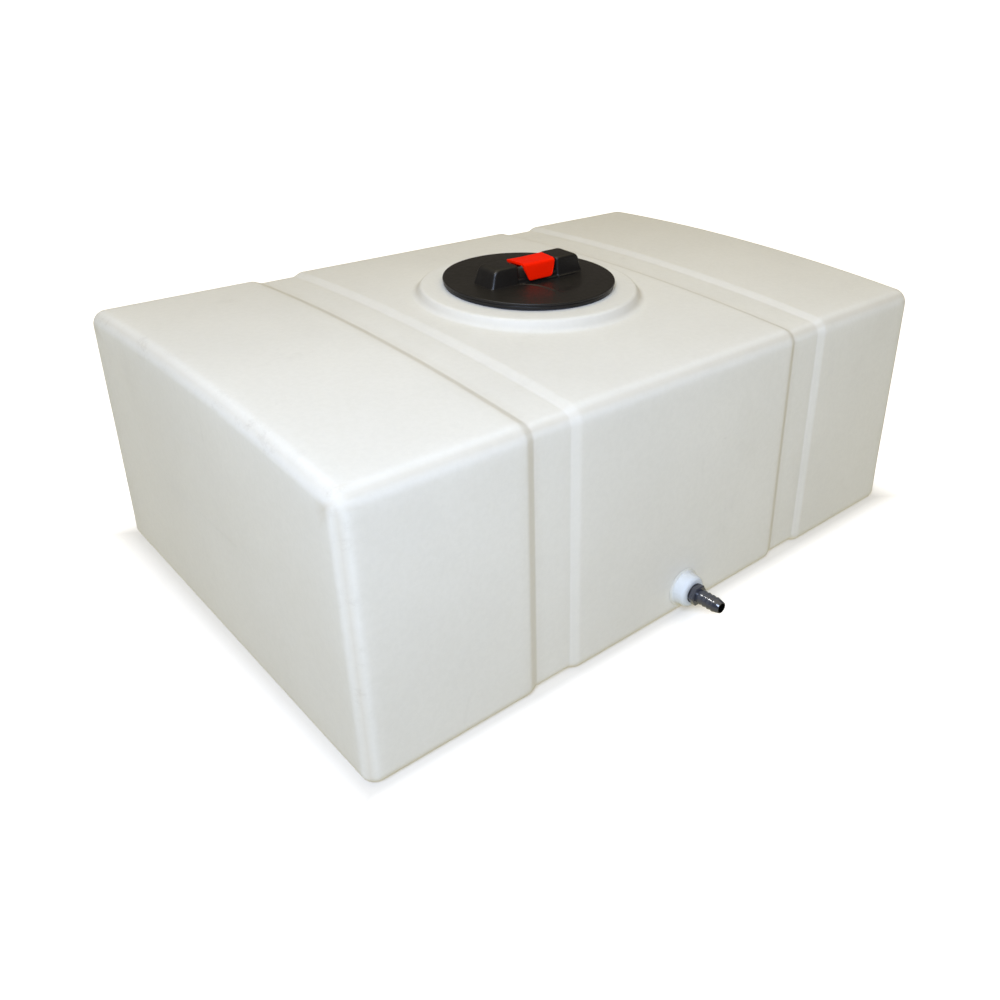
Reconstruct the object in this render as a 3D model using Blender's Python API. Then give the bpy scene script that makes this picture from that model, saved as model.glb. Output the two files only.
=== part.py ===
"""Flat moulded fresh water tank with a screw lid, a safety catch and a hose outlet.

Metres, +Z up. The origin is on the underside, in the middle of the tank. X runs
along the tank, and the outlet is on the -Y face.
"""
import math

import bmesh
import bpy
from mathutils import Matrix, Vector

# Tank body
LENGTH = 0.900
BASE_WIDTH = 0.604
TOP_WIDTH = 0.576
EDGE_HEIGHT = 0.324
CROWN = 0.011
WALL = 0.006
TOP_RADIUS = 0.024
BOTTOM_RADIUS = 0.014
END_RADIUS = 0.020
SHARPEST_RADIUS = 0.002

# Strap recesses that run right round the tank
STRAP_INNER = 0.175
STRAP_OUTER = 0.2455
STRAP_RAMP = 0.011
STRAP_DEPTH = 0.0045

# Raised round pad that carries the lid's neck
PAD_TOP = 0.3455
PAD_RADIUS = 0.142
PAD_FOOT_RADIUS = 0.149
PAD_FOOT = 0.3300
PAD_EDGE = 0.004
PAD_FLARE_RISE = 0.0085
PAD_HOLLOW_FOOT = 0.300
NECK_HOLE_RADIUS = 0.088

# GAP keeps touching pieces apart, and a cutter runs PAST what it cuts
GAP = 0.0003
PAST = 0.010

# Neck collar, its gasket and the ring that backs it inside the tank
GASKET_THICKNESS = 0.0015
GASKET_INSET = 0.001
FLANGE_THICKNESS = 0.0036
FLANGE_RADIUS = 0.1085
CLAMP_INNER_RADIUS = 0.0887
NECK_OUTER_RADIUS = 0.0872
NECK_INNER_RADIUS = 0.0810
NECK_BOTTOM = 0.3220
SEAT_RADIUS = 0.0874
SEAT_DEPTH = 0.0027
BACKING_THICKNESS = 0.005
BACKING_SLOT = 0.014

# Collar screws
SCREW_COUNT = 8
SCREW_CIRCLE_RADIUS = 0.0985
SCREW_RADIUS = 0.0025
SCREW_HEAD_RADIUS = 0.0048
SCREW_HEAD_DEPTH = 0.0026
SCREW_HEAD_SINK = 0.0002
SCREW_LENGTH = 0.0185
SCREW_CLEARANCE = 0.0005
SCREW_SOCKET_RADIUS = 0.0017
SCREW_SOCKET_DEPTH = 0.0018

# Lid
LID_RADIUS = 0.1095
LID_EDGE = 0.0032
LID_DISH_RADIUS = 0.0760
LID_DISH_DEPTH = 0.0016
LID_DISH_SLOPE = 0.004
LID_BEVEL = 0.001
LID_CROWN = 0.0006
LID_CROWN_WIDTH = 0.008
LID_ROOF_DROP = 0.0012
LID_CLEARANCE = 0.0004
SKIRT_OUTER_RADIUS = 0.0795
SKIRT_INNER_RADIUS = 0.0755
SKIRT_BOTTOM = 0.3300

# Lid handle: two hollow humps with a low web between them
HANDLE_FOOT = (0.0745, 0.0196)
HANDLE_CREST = (0.0680, 0.0172)
HANDLE_HEIGHT = 0.0225
HANDLE_WALL = 0.003
HANDLE_ROUNDING = 0.003
HANDLE_ROOT = 0.001
NOTCH_HALF = 0.031
WEB_HEIGHT = 0.0075

# Safety catch on its cross pin
CATCH_HALF = 0.0285
CATCH_FLAP_HALF = 0.0225
CATCH_THICKNESS = 0.003
CATCH_FRONT = 0.0215
CATCH_BACK = 0.0130
CATCH_FLAP_DROP = 0.0190
CATCH_RISE = 0.0012
CATCH_BEND = 0.003
CATCH_FLAP_LEAN = 0.0012
CATCH_FLAP_THICKNESS = 0.0024
CATCH_SIDE_PLAY = 0.001
LUG_HALF = 0.0033
LUG_INSET = 0.0004
LUG_DROP = 0.001
PIN_RADIUS = 0.002
PIN_HALF = 0.0342
PIN_HOLE_EXTRA = 0.002
PIN_BACK = 0.0090
PIN_BELOW_CREST = 0.0068
BARREL_RADIUS = 0.0041
BARREL_GAP_HALF = 0.0075
SPRING_RADIUS = 0.0034
SPRING_WIRE = 0.0005
SPRING_TURNS = 5.25
SPRING_HALF = 0.0050
SPRING_LEG = 0.0075
SPRING_STEPS = 12

# Vent valve in the web
VENT_OFFSET = -0.0040
VENT_STEM_RADIUS = 0.0015
VENT_DISC_RADIUS = 0.0080
VENT_DISC = 0.0009
VENT_BULB_RADIUS = 0.0023
VENT_HOLE_RADIUS = 0.0011
VENT_HOLE_CIRCLE = 0.0055
VENT_HOLES = 4
VENT_HOLE_ROUND = 8
VENT_DISC_CONE = 0.0009
VENT_BULB_HEIGHT = 0.0018
VENT_TIP = 0.0004

# Outlet: spin-welded socket, washer and barbed hose tail
OUTLET_HEIGHT = 0.037
SOCKET_BORE = 0.0110
SOCKET_RADIUS = 0.0200
SOCKET_LENGTH = 0.0180
SOCKET_FLANGE_RADIUS = 0.0255
SOCKET_FLANGE = 0.0030
SOCKET_SPIGOT_RADIUS = 0.0140
SOCKET_SPIGOT = 0.0075
SPIGOT_CLEARANCE = 0.0005
SOCKET_ROUND = 32
SOCKET_BEVEL = 0.0015
SOCKET_END_BEVEL = 0.0035
SOCKET_FILLET = 0.0020
SOCKET_FLANGE_EDGE = 0.0021
WASHER_THICKNESS = 0.0012
WASHER_RADIUS = 0.0128
HEX_FLATS = 0.0240
HEX_LENGTH = 0.0075
TAIL_THREAD_RADIUS = 0.0105
TAIL_THREAD = 0.0150
TAIL_BORE = 0.0060
TAIL_ROOT_RADIUS = 0.0084
TAIL_BARB_RADIUS = 0.0093
TAIL_TIP_RADIUS = 0.0072
TAIL_BARBS = 4
TAIL_BARB_PITCH = 0.0065
TAIL_END = 0.0610
TAIL_SHOULDER = 0.0032
TAIL_BARB_STEP = 0.0008
HEX_HOLE_EXTRA = 0.001

ROUND = 48
SMALL_ROUND = 24
PIN_ROUND = 12

GASKET_BOTTOM = PAD_TOP + GAP
FLANGE_BOTTOM = GASKET_BOTTOM + GASKET_THICKNESS + GAP
FLANGE_TOP = FLANGE_BOTTOM + FLANGE_THICKNESS
SEAT_FLOOR = FLANGE_TOP - SEAT_DEPTH
LID_UNDERSIDE = FLANGE_TOP + LID_CLEARANCE
LID_TOP = LID_UNDERSIDE + LID_EDGE + LID_CROWN
DISH_TOP = LID_TOP - LID_DISH_DEPTH
WEB_TOP = DISH_TOP + WEB_HEIGHT
CREST = LID_TOP + HANDLE_HEIGHT
PIN_HEIGHT = CREST - PIN_BELOW_CREST


def clear_scene():
    for thing in list(bpy.data.objects):
        bpy.data.objects.remove(thing, do_unlink=True)


def finish(name, colour, roughness, metallic=0.0):
    material = bpy.data.materials.new(name)
    material.use_nodes = True
    shader = material.node_tree.nodes["Principled BSDF"]
    shader.inputs["Base Color"].default_value = (*colour, 1.0)
    shader.inputs["Roughness"].default_value = roughness
    shader.inputs["Metallic"].default_value = metallic
    return material


def add_object(name, bm, material=None):
    """Turn a bmesh into a named object with its faces pointing out."""
    bmesh.ops.recalc_face_normals(bm, faces=bm.faces)
    mesh = bpy.data.meshes.new(name)
    bm.to_mesh(mesh)
    bm.free()
    mesh.shade_smooth()
    mesh.set_sharp_from_angle(angle=math.radians(35))
    made = bpy.data.objects.new(name, mesh)
    bpy.context.scene.collection.objects.link(made)
    if material:
        mesh.materials.append(material)
    return made


def as_cutter(thing):
    thing.hide_render = True
    thing.display_type = "WIRE"
    return thing


def boolean(target, tool, operation):
    modifier = target.modifiers.new(f"{operation.lower()}_{tool.name}", "BOOLEAN")
    modifier.operation = operation
    modifier.solver = "EXACT"
    modifier.object = as_cutter(tool)


def turned(profile, steps):
    """Spin an (r, z) profile about Z. A profile that leaves the axis is closed on itself."""
    bm = bmesh.new()
    verts = [bm.verts.new((r, 0.0, z)) for r, z in profile]
    edges = [bm.edges.new(pair) for pair in zip(verts, verts[1:])]
    if profile[0][0] > 0:
        edges.append(bm.edges.new((verts[-1], verts[0])))
    bmesh.ops.spin(
        bm, geom=verts + edges, cent=(0, 0, 0), axis=(0, 0, 1), angle=math.tau, steps=steps, use_merge=True
    )
    bmesh.ops.remove_doubles(bm, verts=bm.verts, dist=1e-6)
    return bm


def ring(inner, outer, low, high):
    return [(inner, low), (outer, low), (outer, high), (inner, high)]


def arc(centre_r, centre_z, radius, start, end, steps):
    """Points on an arc, angles in degrees from +R towards +Z."""
    points = []
    for step in range(steps + 1):
        angle = math.radians(start + (end - start) * step / steps)
        points.append((centre_r + radius * math.cos(angle), centre_z + radius * math.sin(angle)))
    return points


def cylinder_into(bm, radius, low, high, centre=(0.0, 0.0), steps=SMALL_ROUND, top_radius=None):
    matrix = Matrix.Translation((centre[0], centre[1], (low + high) / 2))
    bmesh.ops.create_cone(
        bm,
        cap_ends=True,
        segments=steps,
        radius1=radius,
        radius2=radius if top_radius is None else top_radius,
        depth=high - low,
        matrix=matrix,
    )


def side_cylinder(radius, low_x, high_x, y, z, steps):
    """A cylinder along X."""
    bm = bmesh.new()
    turn = Matrix.Rotation(math.radians(90), 4, "Y")
    matrix = Matrix.Translation(((low_x + high_x) / 2, y, z)) @ turn
    bmesh.ops.create_cone(
        bm, cap_ends=True, segments=steps, radius1=radius, radius2=radius, depth=high_x - low_x, matrix=matrix
    )
    return bm


def block(low, high):
    bm = bmesh.new()
    bmesh.ops.create_cube(bm, size=1.0)
    size = Vector(high) - Vector(low)
    middle = (Vector(high) + Vector(low)) / 2
    bmesh.ops.transform(bm, matrix=Matrix.Translation(middle) @ Matrix.Diagonal((*size, 1.0)), verts=bm.verts)
    return bm


def frustum(foot, crest, low, high):
    """A four-sided block that narrows upwards. foot and crest are half sizes in X and Y."""
    bm = bmesh.new()
    layers = []
    for (half_x, half_y), z in ((foot, low), (crest, high)):
        corners = ((-1, -1), (1, -1), (1, 1), (-1, 1))
        layers.append([bm.verts.new((sx * half_x, sy * half_y, z)) for sx, sy in corners])
    bm.faces.new(layers[0][::-1])
    bm.faces.new(layers[1])
    for i in range(4):
        j = (i + 1) % 4
        bm.faces.new((layers[0][i], layers[0][j], layers[1][j], layers[1][i]))
    return bm


# ---------------------------------------------------------------- tank body

def section(inset):
    """Outline across the tank, inset evenly: (y, z) points, from the bottom round to the bottom."""
    lean = math.atan2((BASE_WIDTH - TOP_WIDTH) / 2, EDGE_HEIGHT)
    side = math.cos(lean) * BASE_WIDTH / 2 - inset
    low_radius = max(BOTTOM_RADIUS - inset, SHARPEST_RADIUS)
    high_radius = max(TOP_RADIUS - inset, SHARPEST_RADIUS)

    def corner_y(z, radius):
        return (side - radius - math.sin(lean) * z) / math.cos(lean)

    low_z = inset + low_radius
    high_z = EDGE_HEIGHT - inset - high_radius
    slope = 0.0
    for _ in range(8):
        edge_y = corner_y(high_z, high_radius) + high_radius * math.sin(slope)
        slope = math.atan(2 * CROWN * edge_y / (TOP_WIDTH / 2) ** 2)
        crown_z = EDGE_HEIGHT - inset + CROWN * (1 - (edge_y / (TOP_WIDTH / 2)) ** 2)
        high_z = crown_z - high_radius * math.cos(slope)
    lean_deg = math.degrees(lean)
    half = arc(corner_y(low_z, low_radius), low_z, low_radius, -90, lean_deg, 4)
    half += arc(corner_y(high_z, high_radius), high_z, high_radius, lean_deg, 90 - math.degrees(slope), 5)
    edge_y = half[-1][0]
    crown = []
    for step in range(1, 8):
        y = edge_y * (1 - step / 4)
        crown.append((y, EDGE_HEIGHT - inset + CROWN * (1 - (y / (TOP_WIDTH / 2)) ** 2)))
    return half + crown + [(-y, z) for y, z in reversed(half)]


def stations(wall):
    """X positions and insets along one half of the tank, from the middle to the end."""
    deep = wall + STRAP_DEPTH
    half = [
        (STRAP_INNER, wall),
        (STRAP_INNER + STRAP_RAMP, deep),
        (STRAP_OUTER - STRAP_RAMP, deep),
        (STRAP_OUTER, wall),
    ]
    radius = END_RADIUS - wall
    start = LENGTH / 2 - wall - radius
    for x, drop in arc(start, 0.0, radius, 90, 0, 4):
        half.append((x, wall + radius - drop))
    return half


def tank_form(wall):
    """The tank's outer form, or its cavity when wall is the wall's thickness."""
    bm = bmesh.new()
    half = stations(wall)
    whole = [(-x, inset) for x, inset in reversed(half)] + half
    rings = [[bm.verts.new((x, y, z)) for y, z in section(inset)] for x, inset in whole]
    for left, right in zip(rings, rings[1:]):
        for i in range(len(left)):
            j = (i + 1) % len(left)
            bm.faces.new((left[i], left[j], right[j], right[i]))
    bm.faces.new(rings[0])
    bm.faces.new(rings[-1])
    return bm


def pad_form():
    """The raised pad, with a flared foot that dies into the crowned top."""
    edge = arc(PAD_RADIUS - PAD_EDGE, PAD_TOP - PAD_EDGE, PAD_EDGE, 0, 90, 3)
    profile = [(0, PAD_FOOT), (PAD_FOOT_RADIUS, PAD_FOOT), (PAD_RADIUS, PAD_FOOT + PAD_FLARE_RISE)]
    return turned(profile + edge + [(0, PAD_TOP)], ROUND)


def screw_places():
    for index in range(SCREW_COUNT):
        angle = math.tau * (index + 0.5) / SCREW_COUNT
        yield index + 1, SCREW_CIRCLE_RADIUS * math.cos(angle), SCREW_CIRCLE_RADIUS * math.sin(angle)


def screw_holes(low, high, radius, name):
    bm = bmesh.new()
    for _, x, y in screw_places():
        cylinder_into(bm, radius, low, high, (x, y), PIN_ROUND)
    return add_object(name, bm)


def outlet_frame():
    """An empty on the front face, its +Z along the outlet's axis."""
    lean = math.atan2((BASE_WIDTH - TOP_WIDTH) / 2, EDGE_HEIGHT)
    face_y = -BASE_WIDTH / 2 + OUTLET_HEIGHT * math.tan(lean)
    empty = bpy.data.objects.new("outlet_axis", None)
    empty.location = (0.0, face_y, OUTLET_HEIGHT)
    empty.rotation_euler = (math.radians(90) - lean, 0.0, 0.0)
    bpy.context.scene.collection.objects.link(empty)
    return empty


def make_tank(plastic, outlet):
    tank = add_object("tank_shell", tank_form(0.0), plastic)
    boolean(tank, add_object("pad_blank", pad_form()), "UNION")
    cavity = add_object("cavity_cutter", tank_form(WALL))
    pad_roof = PAD_TOP - WALL
    wall_radius = PAD_RADIUS - WALL
    hollow = [(0, PAD_HOLLOW_FOOT), (wall_radius, PAD_HOLLOW_FOOT), (wall_radius, pad_roof), (0, pad_roof)]
    boolean(cavity, add_object("pad_hollow", turned(hollow, ROUND)), "UNION")
    boolean(tank, cavity, "DIFFERENCE")
    neck = bmesh.new()
    cylinder_into(neck, NECK_HOLE_RADIUS, PAD_HOLLOW_FOOT, PAD_TOP + PAST, steps=ROUND)
    boolean(tank, add_object("neck_cutter", neck), "DIFFERENCE")
    holes = screw_holes(pad_roof - PAST, PAD_TOP + PAST, SCREW_RADIUS + SCREW_CLEARANCE, "tank_screw_cutter")
    boolean(tank, holes, "DIFFERENCE")
    bore = bmesh.new()
    cylinder_into(bore, SOCKET_SPIGOT_RADIUS + SPIGOT_CLEARANCE, -WALL - PAST, PAST)
    bore_cutter = add_object("outlet_cutter", bore)
    bore_cutter.parent = outlet
    boolean(tank, bore_cutter, "DIFFERENCE")
    return tank


# ---------------------------------------------------------------- neck collar

def make_collar(plastic, rubber, steel):
    neck = [
        (NECK_INNER_RADIUS, NECK_BOTTOM),
        (NECK_OUTER_RADIUS, NECK_BOTTOM),
        (NECK_OUTER_RADIUS, FLANGE_BOTTOM),
        (FLANGE_RADIUS, FLANGE_BOTTOM),
        (FLANGE_RADIUS, FLANGE_TOP),
        (SEAT_RADIUS, FLANGE_TOP),
        (SEAT_RADIUS, SEAT_FLOOR),
        (NECK_INNER_RADIUS, SEAT_FLOOR),
    ]
    collar = add_object("neck_collar", turned(neck, ROUND), plastic)
    clearance = SCREW_RADIUS + SCREW_CLEARANCE
    sunk = screw_holes(FLANGE_BOTTOM - PAST, FLANGE_TOP + PAST, clearance, "shank_cutter")
    boolean(collar, sunk, "DIFFERENCE")
    heads = bmesh.new()
    for _, x, y in screw_places():
        bottom = FLANGE_TOP - SCREW_HEAD_DEPTH - SCREW_CLEARANCE
        high = SCREW_HEAD_RADIUS + SCREW_CLEARANCE
        cylinder_into(heads, clearance, bottom, FLANGE_TOP + GAP, (x, y), PIN_ROUND, high)
    boolean(collar, add_object("head_cutter", heads), "DIFFERENCE")

    top = GASKET_BOTTOM + GASKET_THICKNESS
    profile = ring(CLAMP_INNER_RADIUS, FLANGE_RADIUS - GASKET_INSET, GASKET_BOTTOM, top)
    gasket = add_object("collar_gasket", turned(profile, ROUND), rubber)
    gasket_holes = screw_holes(GASKET_BOTTOM - PAST, top + PAST, clearance, "gasket_cutter")
    boolean(gasket, gasket_holes, "DIFFERENCE")

    roof = PAD_TOP - WALL - GAP
    profile = ring(CLAMP_INNER_RADIUS, FLANGE_RADIUS, roof - BACKING_THICKNESS, roof)
    backing = add_object("backing_ring", turned(profile, ROUND), plastic)
    tapped = SCREW_RADIUS + GAP
    floor = roof - BACKING_THICKNESS
    boolean(backing, screw_holes(floor - PAST, roof + PAST, tapped, "tapped_cutter"), "DIFFERENCE")
    slot_low = (CLAMP_INNER_RADIUS - PAST, -BACKING_SLOT / 2, floor - PAST)
    slot_high = (FLANGE_RADIUS + PAST, BACKING_SLOT / 2, roof + PAST)
    slot = block(slot_low, slot_high)
    boolean(backing, add_object("slot_cutter", slot), "DIFFERENCE")

    head_top = FLANGE_TOP - SCREW_HEAD_SINK
    profile = [
        (0, -SCREW_LENGTH),
        (SCREW_RADIUS, -SCREW_LENGTH),
        (SCREW_RADIUS, -SCREW_HEAD_DEPTH),
        (SCREW_HEAD_RADIUS, 0),
        (0, 0),
    ]
    for index, x, y in screw_places():
        screw = add_object(f"collar_screw_{index}", turned(profile, PIN_ROUND), steel)
        screw.location = (x, y, head_top)
        hexagon = bmesh.new()
        cylinder_into(hexagon, SCREW_SOCKET_RADIUS, -SCREW_SOCKET_DEPTH, PAST, steps=6)
        cutter = add_object(f"screw_socket_{index}", hexagon)
        cutter.parent = screw
        boolean(screw, cutter, "DIFFERENCE")


# ---------------------------------------------------------------- lid

def make_lid(plastic, rubber):
    profile = [
        (0, LID_UNDERSIDE - LID_ROOF_DROP),
        (SKIRT_INNER_RADIUS, LID_UNDERSIDE - LID_ROOF_DROP),
        (SKIRT_INNER_RADIUS, SKIRT_BOTTOM),
        (SKIRT_OUTER_RADIUS, SKIRT_BOTTOM),
        (SKIRT_OUTER_RADIUS, LID_UNDERSIDE),
        (LID_RADIUS, LID_UNDERSIDE),
        (LID_RADIUS, LID_UNDERSIDE + LID_EDGE - LID_BEVEL),
        (LID_RADIUS - LID_BEVEL, LID_UNDERSIDE + LID_EDGE),
        (LID_DISH_RADIUS + LID_CROWN_WIDTH, LID_TOP),
        (LID_DISH_RADIUS, LID_TOP),
        (LID_DISH_RADIUS - LID_DISH_SLOPE, DISH_TOP),
        (0, DISH_TOP),
    ]
    lid = add_object("lid", turned(profile, ROUND), plastic)
    humps = add_object("handle_blank", frustum(HANDLE_FOOT, HANDLE_CREST, DISH_TOP - HANDLE_ROOT, CREST))
    bevel = humps.modifiers.new("rounding", "BEVEL")
    bevel.width = HANDLE_ROUNDING
    bevel.segments = 2
    bevel.limit_method = "ANGLE"
    reach = HANDLE_FOOT[1] + PAST
    notch = block((-NOTCH_HALF, -reach, WEB_TOP), (NOTCH_HALF, reach, CREST + PAST))
    boolean(humps, add_object("notch_cutter", notch), "DIFFERENCE")
    boolean(lid, humps, "UNION")

    foot = HANDLE_FOOT[0] - HANDLE_WALL
    crest = HANDLE_CREST[0] - HANDLE_WALL
    for side, label in ((-1, "left"), (1, "right")):
        inner = NOTCH_HALF + HANDLE_WALL
        bm = frustum(
            ((foot - inner) / 2, HANDLE_FOOT[1] - HANDLE_WALL),
            ((crest - inner) / 2, HANDLE_CREST[1] - HANDLE_WALL),
            LID_UNDERSIDE - PAST,
            CREST - HANDLE_WALL,
        )
        for vert in bm.verts:
            # the inner wall stands upright, so both layers start at the same x
            half = (foot - inner) / 2 if vert.co.z < LID_UNDERSIDE else (crest - inner) / 2
            vert.co.x = side * (inner + half) + vert.co.x
        boolean(lid, add_object(f"hump_hollow_{label}", bm), "DIFFERENCE")
    web_low = (-NOTCH_HALF + HANDLE_WALL, -HANDLE_FOOT[1] + 2 * HANDLE_WALL, LID_UNDERSIDE - PAST)
    web_high = (NOTCH_HALF - HANDLE_WALL, HANDLE_FOOT[1] - 2 * HANDLE_WALL, WEB_TOP - HANDLE_WALL)
    boolean(lid, add_object("web_hollow", block(web_low, web_high)), "DIFFERENCE")
    hole_half = PIN_HALF + PIN_HOLE_EXTRA
    pin_hole = side_cylinder(PIN_RADIUS + GAP, -hole_half, hole_half, PIN_BACK, PIN_HEIGHT, PIN_ROUND)
    boolean(lid, add_object("pin_cutter", pin_hole), "DIFFERENCE")
    vents = bmesh.new()
    low = WEB_TOP - 2 * HANDLE_WALL
    high = WEB_TOP + HANDLE_WALL
    cylinder_into(vents, VENT_STEM_RADIUS + GAP, low, high, (0.0, VENT_OFFSET), PIN_ROUND)
    for index in range(VENT_HOLES):
        angle = math.tau * (index + 0.5) / VENT_HOLES
        place = (VENT_HOLE_CIRCLE * math.cos(angle), VENT_OFFSET + VENT_HOLE_CIRCLE * math.sin(angle))
        cylinder_into(vents, VENT_HOLE_RADIUS, low, high, place, VENT_HOLE_ROUND)
    boolean(lid, add_object("vent_cutter", vents), "DIFFERENCE")

    seal_radius = SEAT_RADIUS - LID_CLEARANCE
    profile = ring(SKIRT_OUTER_RADIUS + GAP, seal_radius, SEAT_FLOOR + GAP, LID_UNDERSIDE - GAP)
    add_object("lid_seal", turned(profile, ROUND), rubber)


def make_vent(rubber):
    seat = WEB_TOP - HANDLE_WALL - GAP
    rim = seat - VENT_DISC + VENT_DISC_CONE / 3
    bottom = rim - VENT_DISC_CONE
    bulb = WEB_TOP + GAP
    profile = [
        (0, bottom),
        (VENT_STEM_RADIUS, bottom),
        (VENT_DISC_RADIUS, rim),
        (VENT_DISC_RADIUS, seat),
        (VENT_STEM_RADIUS, seat),
        (VENT_STEM_RADIUS, bulb),
        (VENT_BULB_RADIUS, bulb),
        (VENT_STEM_RADIUS, WEB_TOP + VENT_BULB_HEIGHT),
        (0, WEB_TOP + VENT_BULB_HEIGHT + VENT_TIP),
    ]
    valve = add_object("vent_valve", turned(profile, PIN_ROUND), rubber)
    valve.location = (0.0, VENT_OFFSET, 0.0)


def catch_plate():
    """The bent plate: a top that spans the notch and a flap that narrows downwards."""
    top = CREST + CATCH_RISE - PIN_HEIGHT
    back = CATCH_BACK - PIN_BACK
    front = -CATCH_FRONT - PIN_BACK
    flap = top - CATCH_FLAP_DROP
    outline = [
        (back, top),
        (front + CATCH_BEND, top),
        (front, top - CATCH_BEND),
        (front - CATCH_FLAP_LEAN, flap),
        (front - CATCH_FLAP_LEAN + CATCH_FLAP_THICKNESS, flap),
        (front + CATCH_THICKNESS, top - CATCH_BEND - CATCH_FLAP_LEAN),
        (front + CATCH_BEND + CATCH_THICKNESS, top - CATCH_THICKNESS),
        (back, top - CATCH_THICKNESS),
    ]
    bm = bmesh.new()
    face = bm.faces.new([bm.verts.new((-CATCH_HALF, y, z)) for y, z in outline])
    far = bmesh.ops.extrude_face_region(bm, geom=[face])["geom"]
    moved = [item for item in far if isinstance(item, bmesh.types.BMVert)]
    bmesh.ops.translate(bm, verts=moved, vec=(2 * CATCH_HALF, 0.0, 0.0))
    for vert in bm.verts:
        if vert.co.z < flap + GAP:
            vert.co.x *= CATCH_FLAP_HALF / CATCH_HALF
    return bm


def make_catch(red, steel):
    catch = add_object("safety_catch", catch_plate(), red)
    catch.location = (0.0, PIN_BACK, PIN_HEIGHT)
    for side, label in ((-1, "left"), (1, "right")):
        low, high = sorted((side * BARREL_GAP_HALF, side * (CATCH_HALF - CATCH_SIDE_PLAY)))
        barrel = add_object(f"barrel_{label}", side_cylinder(BARREL_RADIUS, low, high, 0, 0, PIN_ROUND))
        lug_low = (low, -LUG_HALF, 0.0)
        lug_top = CREST + CATCH_RISE - PIN_HEIGHT - LUG_DROP
        lug_high = (high, CATCH_BACK - PIN_BACK - LUG_INSET, lug_top)
        lug = add_object(f"lug_{label}", block(lug_low, lug_high))
        for blank in (barrel, lug):
            blank.parent = catch
            boolean(catch, blank, "UNION")
    bore_form = side_cylinder(PIN_RADIUS + GAP, -PIN_HALF - PAST, PIN_HALF + PAST, 0, 0, PIN_ROUND)
    bore = add_object("catch_bore", bore_form)
    bore.parent = catch
    boolean(catch, bore, "DIFFERENCE")

    pin = add_object("catch_pin", side_cylinder(PIN_RADIUS, -PIN_HALF, PIN_HALF, 0, 0, PIN_ROUND), steel)
    pin.location = (0.0, PIN_BACK, PIN_HEIGHT)

    curve = bpy.data.curves.new("catch_spring", "CURVE")
    curve.dimensions = "3D"
    curve.bevel_depth = SPRING_WIRE
    curve.bevel_resolution = 1
    curve.use_fill_caps = True
    # one leg runs forward under the plate, and the other stands on the lid's web
    points = [(-SPRING_HALF, -SPRING_LEG, SPRING_RADIUS)]
    steps = round(SPRING_TURNS * SPRING_STEPS)
    for step in range(steps + 1):
        angle = math.tau * step / SPRING_STEPS
        x = -SPRING_HALF + 2 * SPRING_HALF * step / steps
        points.append((x, SPRING_RADIUS * math.sin(angle), SPRING_RADIUS * math.cos(angle)))
    points.append((SPRING_HALF, SPRING_RADIUS, WEB_TOP + GAP - PIN_HEIGHT))
    spline = curve.splines.new("POLY")
    spline.points.add(len(points) - 1)
    for point, place in zip(spline.points, points):
        point.co = (*place, 1.0)
    spring = bpy.data.objects.new("catch_spring", curve)
    curve.materials.append(steel)
    spring.location = (0.0, PIN_BACK, PIN_HEIGHT)
    bpy.context.scene.collection.objects.link(spring)


# ---------------------------------------------------------------- outlet

def make_outlet(outlet, white, rubber, grey):
    profile = [
        (SOCKET_BORE, -SOCKET_SPIGOT),
        (SOCKET_SPIGOT_RADIUS, -SOCKET_SPIGOT),
        (SOCKET_SPIGOT_RADIUS, GAP),
        (SOCKET_FLANGE_RADIUS, GAP),
        (SOCKET_FLANGE_RADIUS - SOCKET_BEVEL, SOCKET_FLANGE_EDGE),
        (SOCKET_RADIUS + SOCKET_FILLET, SOCKET_FLANGE),
        (SOCKET_RADIUS, SOCKET_FLANGE + SOCKET_FILLET),
        (SOCKET_RADIUS, SOCKET_LENGTH - SOCKET_END_BEVEL),
        (SOCKET_RADIUS - SOCKET_END_BEVEL, SOCKET_LENGTH),
        (SOCKET_BORE, SOCKET_LENGTH),
    ]
    socket = add_object("outlet_socket", turned(profile, SOCKET_ROUND), white)
    socket.parent = outlet

    washer_low = SOCKET_LENGTH + GAP
    washer_high = washer_low + WASHER_THICKNESS
    profile = ring(TAIL_THREAD_RADIUS + GAP, WASHER_RADIUS, washer_low, washer_high)
    washer = add_object("outlet_washer", turned(profile, SOCKET_ROUND), rubber)
    washer.parent = outlet

    hex_low = washer_high + GAP
    hex_high = hex_low + HEX_LENGTH
    first_barb = hex_high + TAIL_SHOULDER
    barbs = []
    for index in range(TAIL_BARBS):
        start = first_barb + index * TAIL_BARB_PITCH
        barbs += [(TAIL_ROOT_RADIUS, start), (TAIL_BARB_RADIUS, start + TAIL_BARB_STEP)]
    profile = [
        (TAIL_BORE, hex_low - TAIL_THREAD),
        (TAIL_THREAD_RADIUS, hex_low - TAIL_THREAD),
        (TAIL_THREAD_RADIUS, hex_low + HEX_LENGTH / 2),
        (TAIL_ROOT_RADIUS, hex_low + HEX_LENGTH / 2),
        *barbs,
        (TAIL_TIP_RADIUS, TAIL_END),
        (TAIL_BORE, TAIL_END),
    ]
    tail = add_object("hose_tail", turned(profile, SMALL_ROUND), grey)
    tail.parent = outlet
    hexagon = bmesh.new()
    cylinder_into(hexagon, HEX_FLATS / math.sqrt(3), hex_low, hex_high, steps=6)
    hole = bmesh.new()
    cylinder_into(hole, TAIL_BORE + HEX_HOLE_EXTRA, hex_low - PAST, hex_high + PAST)
    hexagon_blank = add_object("hexagon_blank", hexagon)
    hexagon_hole = add_object("hexagon_hole", hole)
    hexagon_blank.parent = outlet
    hexagon_hole.parent = outlet
    boolean(hexagon_blank, hexagon_hole, "DIFFERENCE")
    boolean(tail, hexagon_blank, "UNION")


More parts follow.
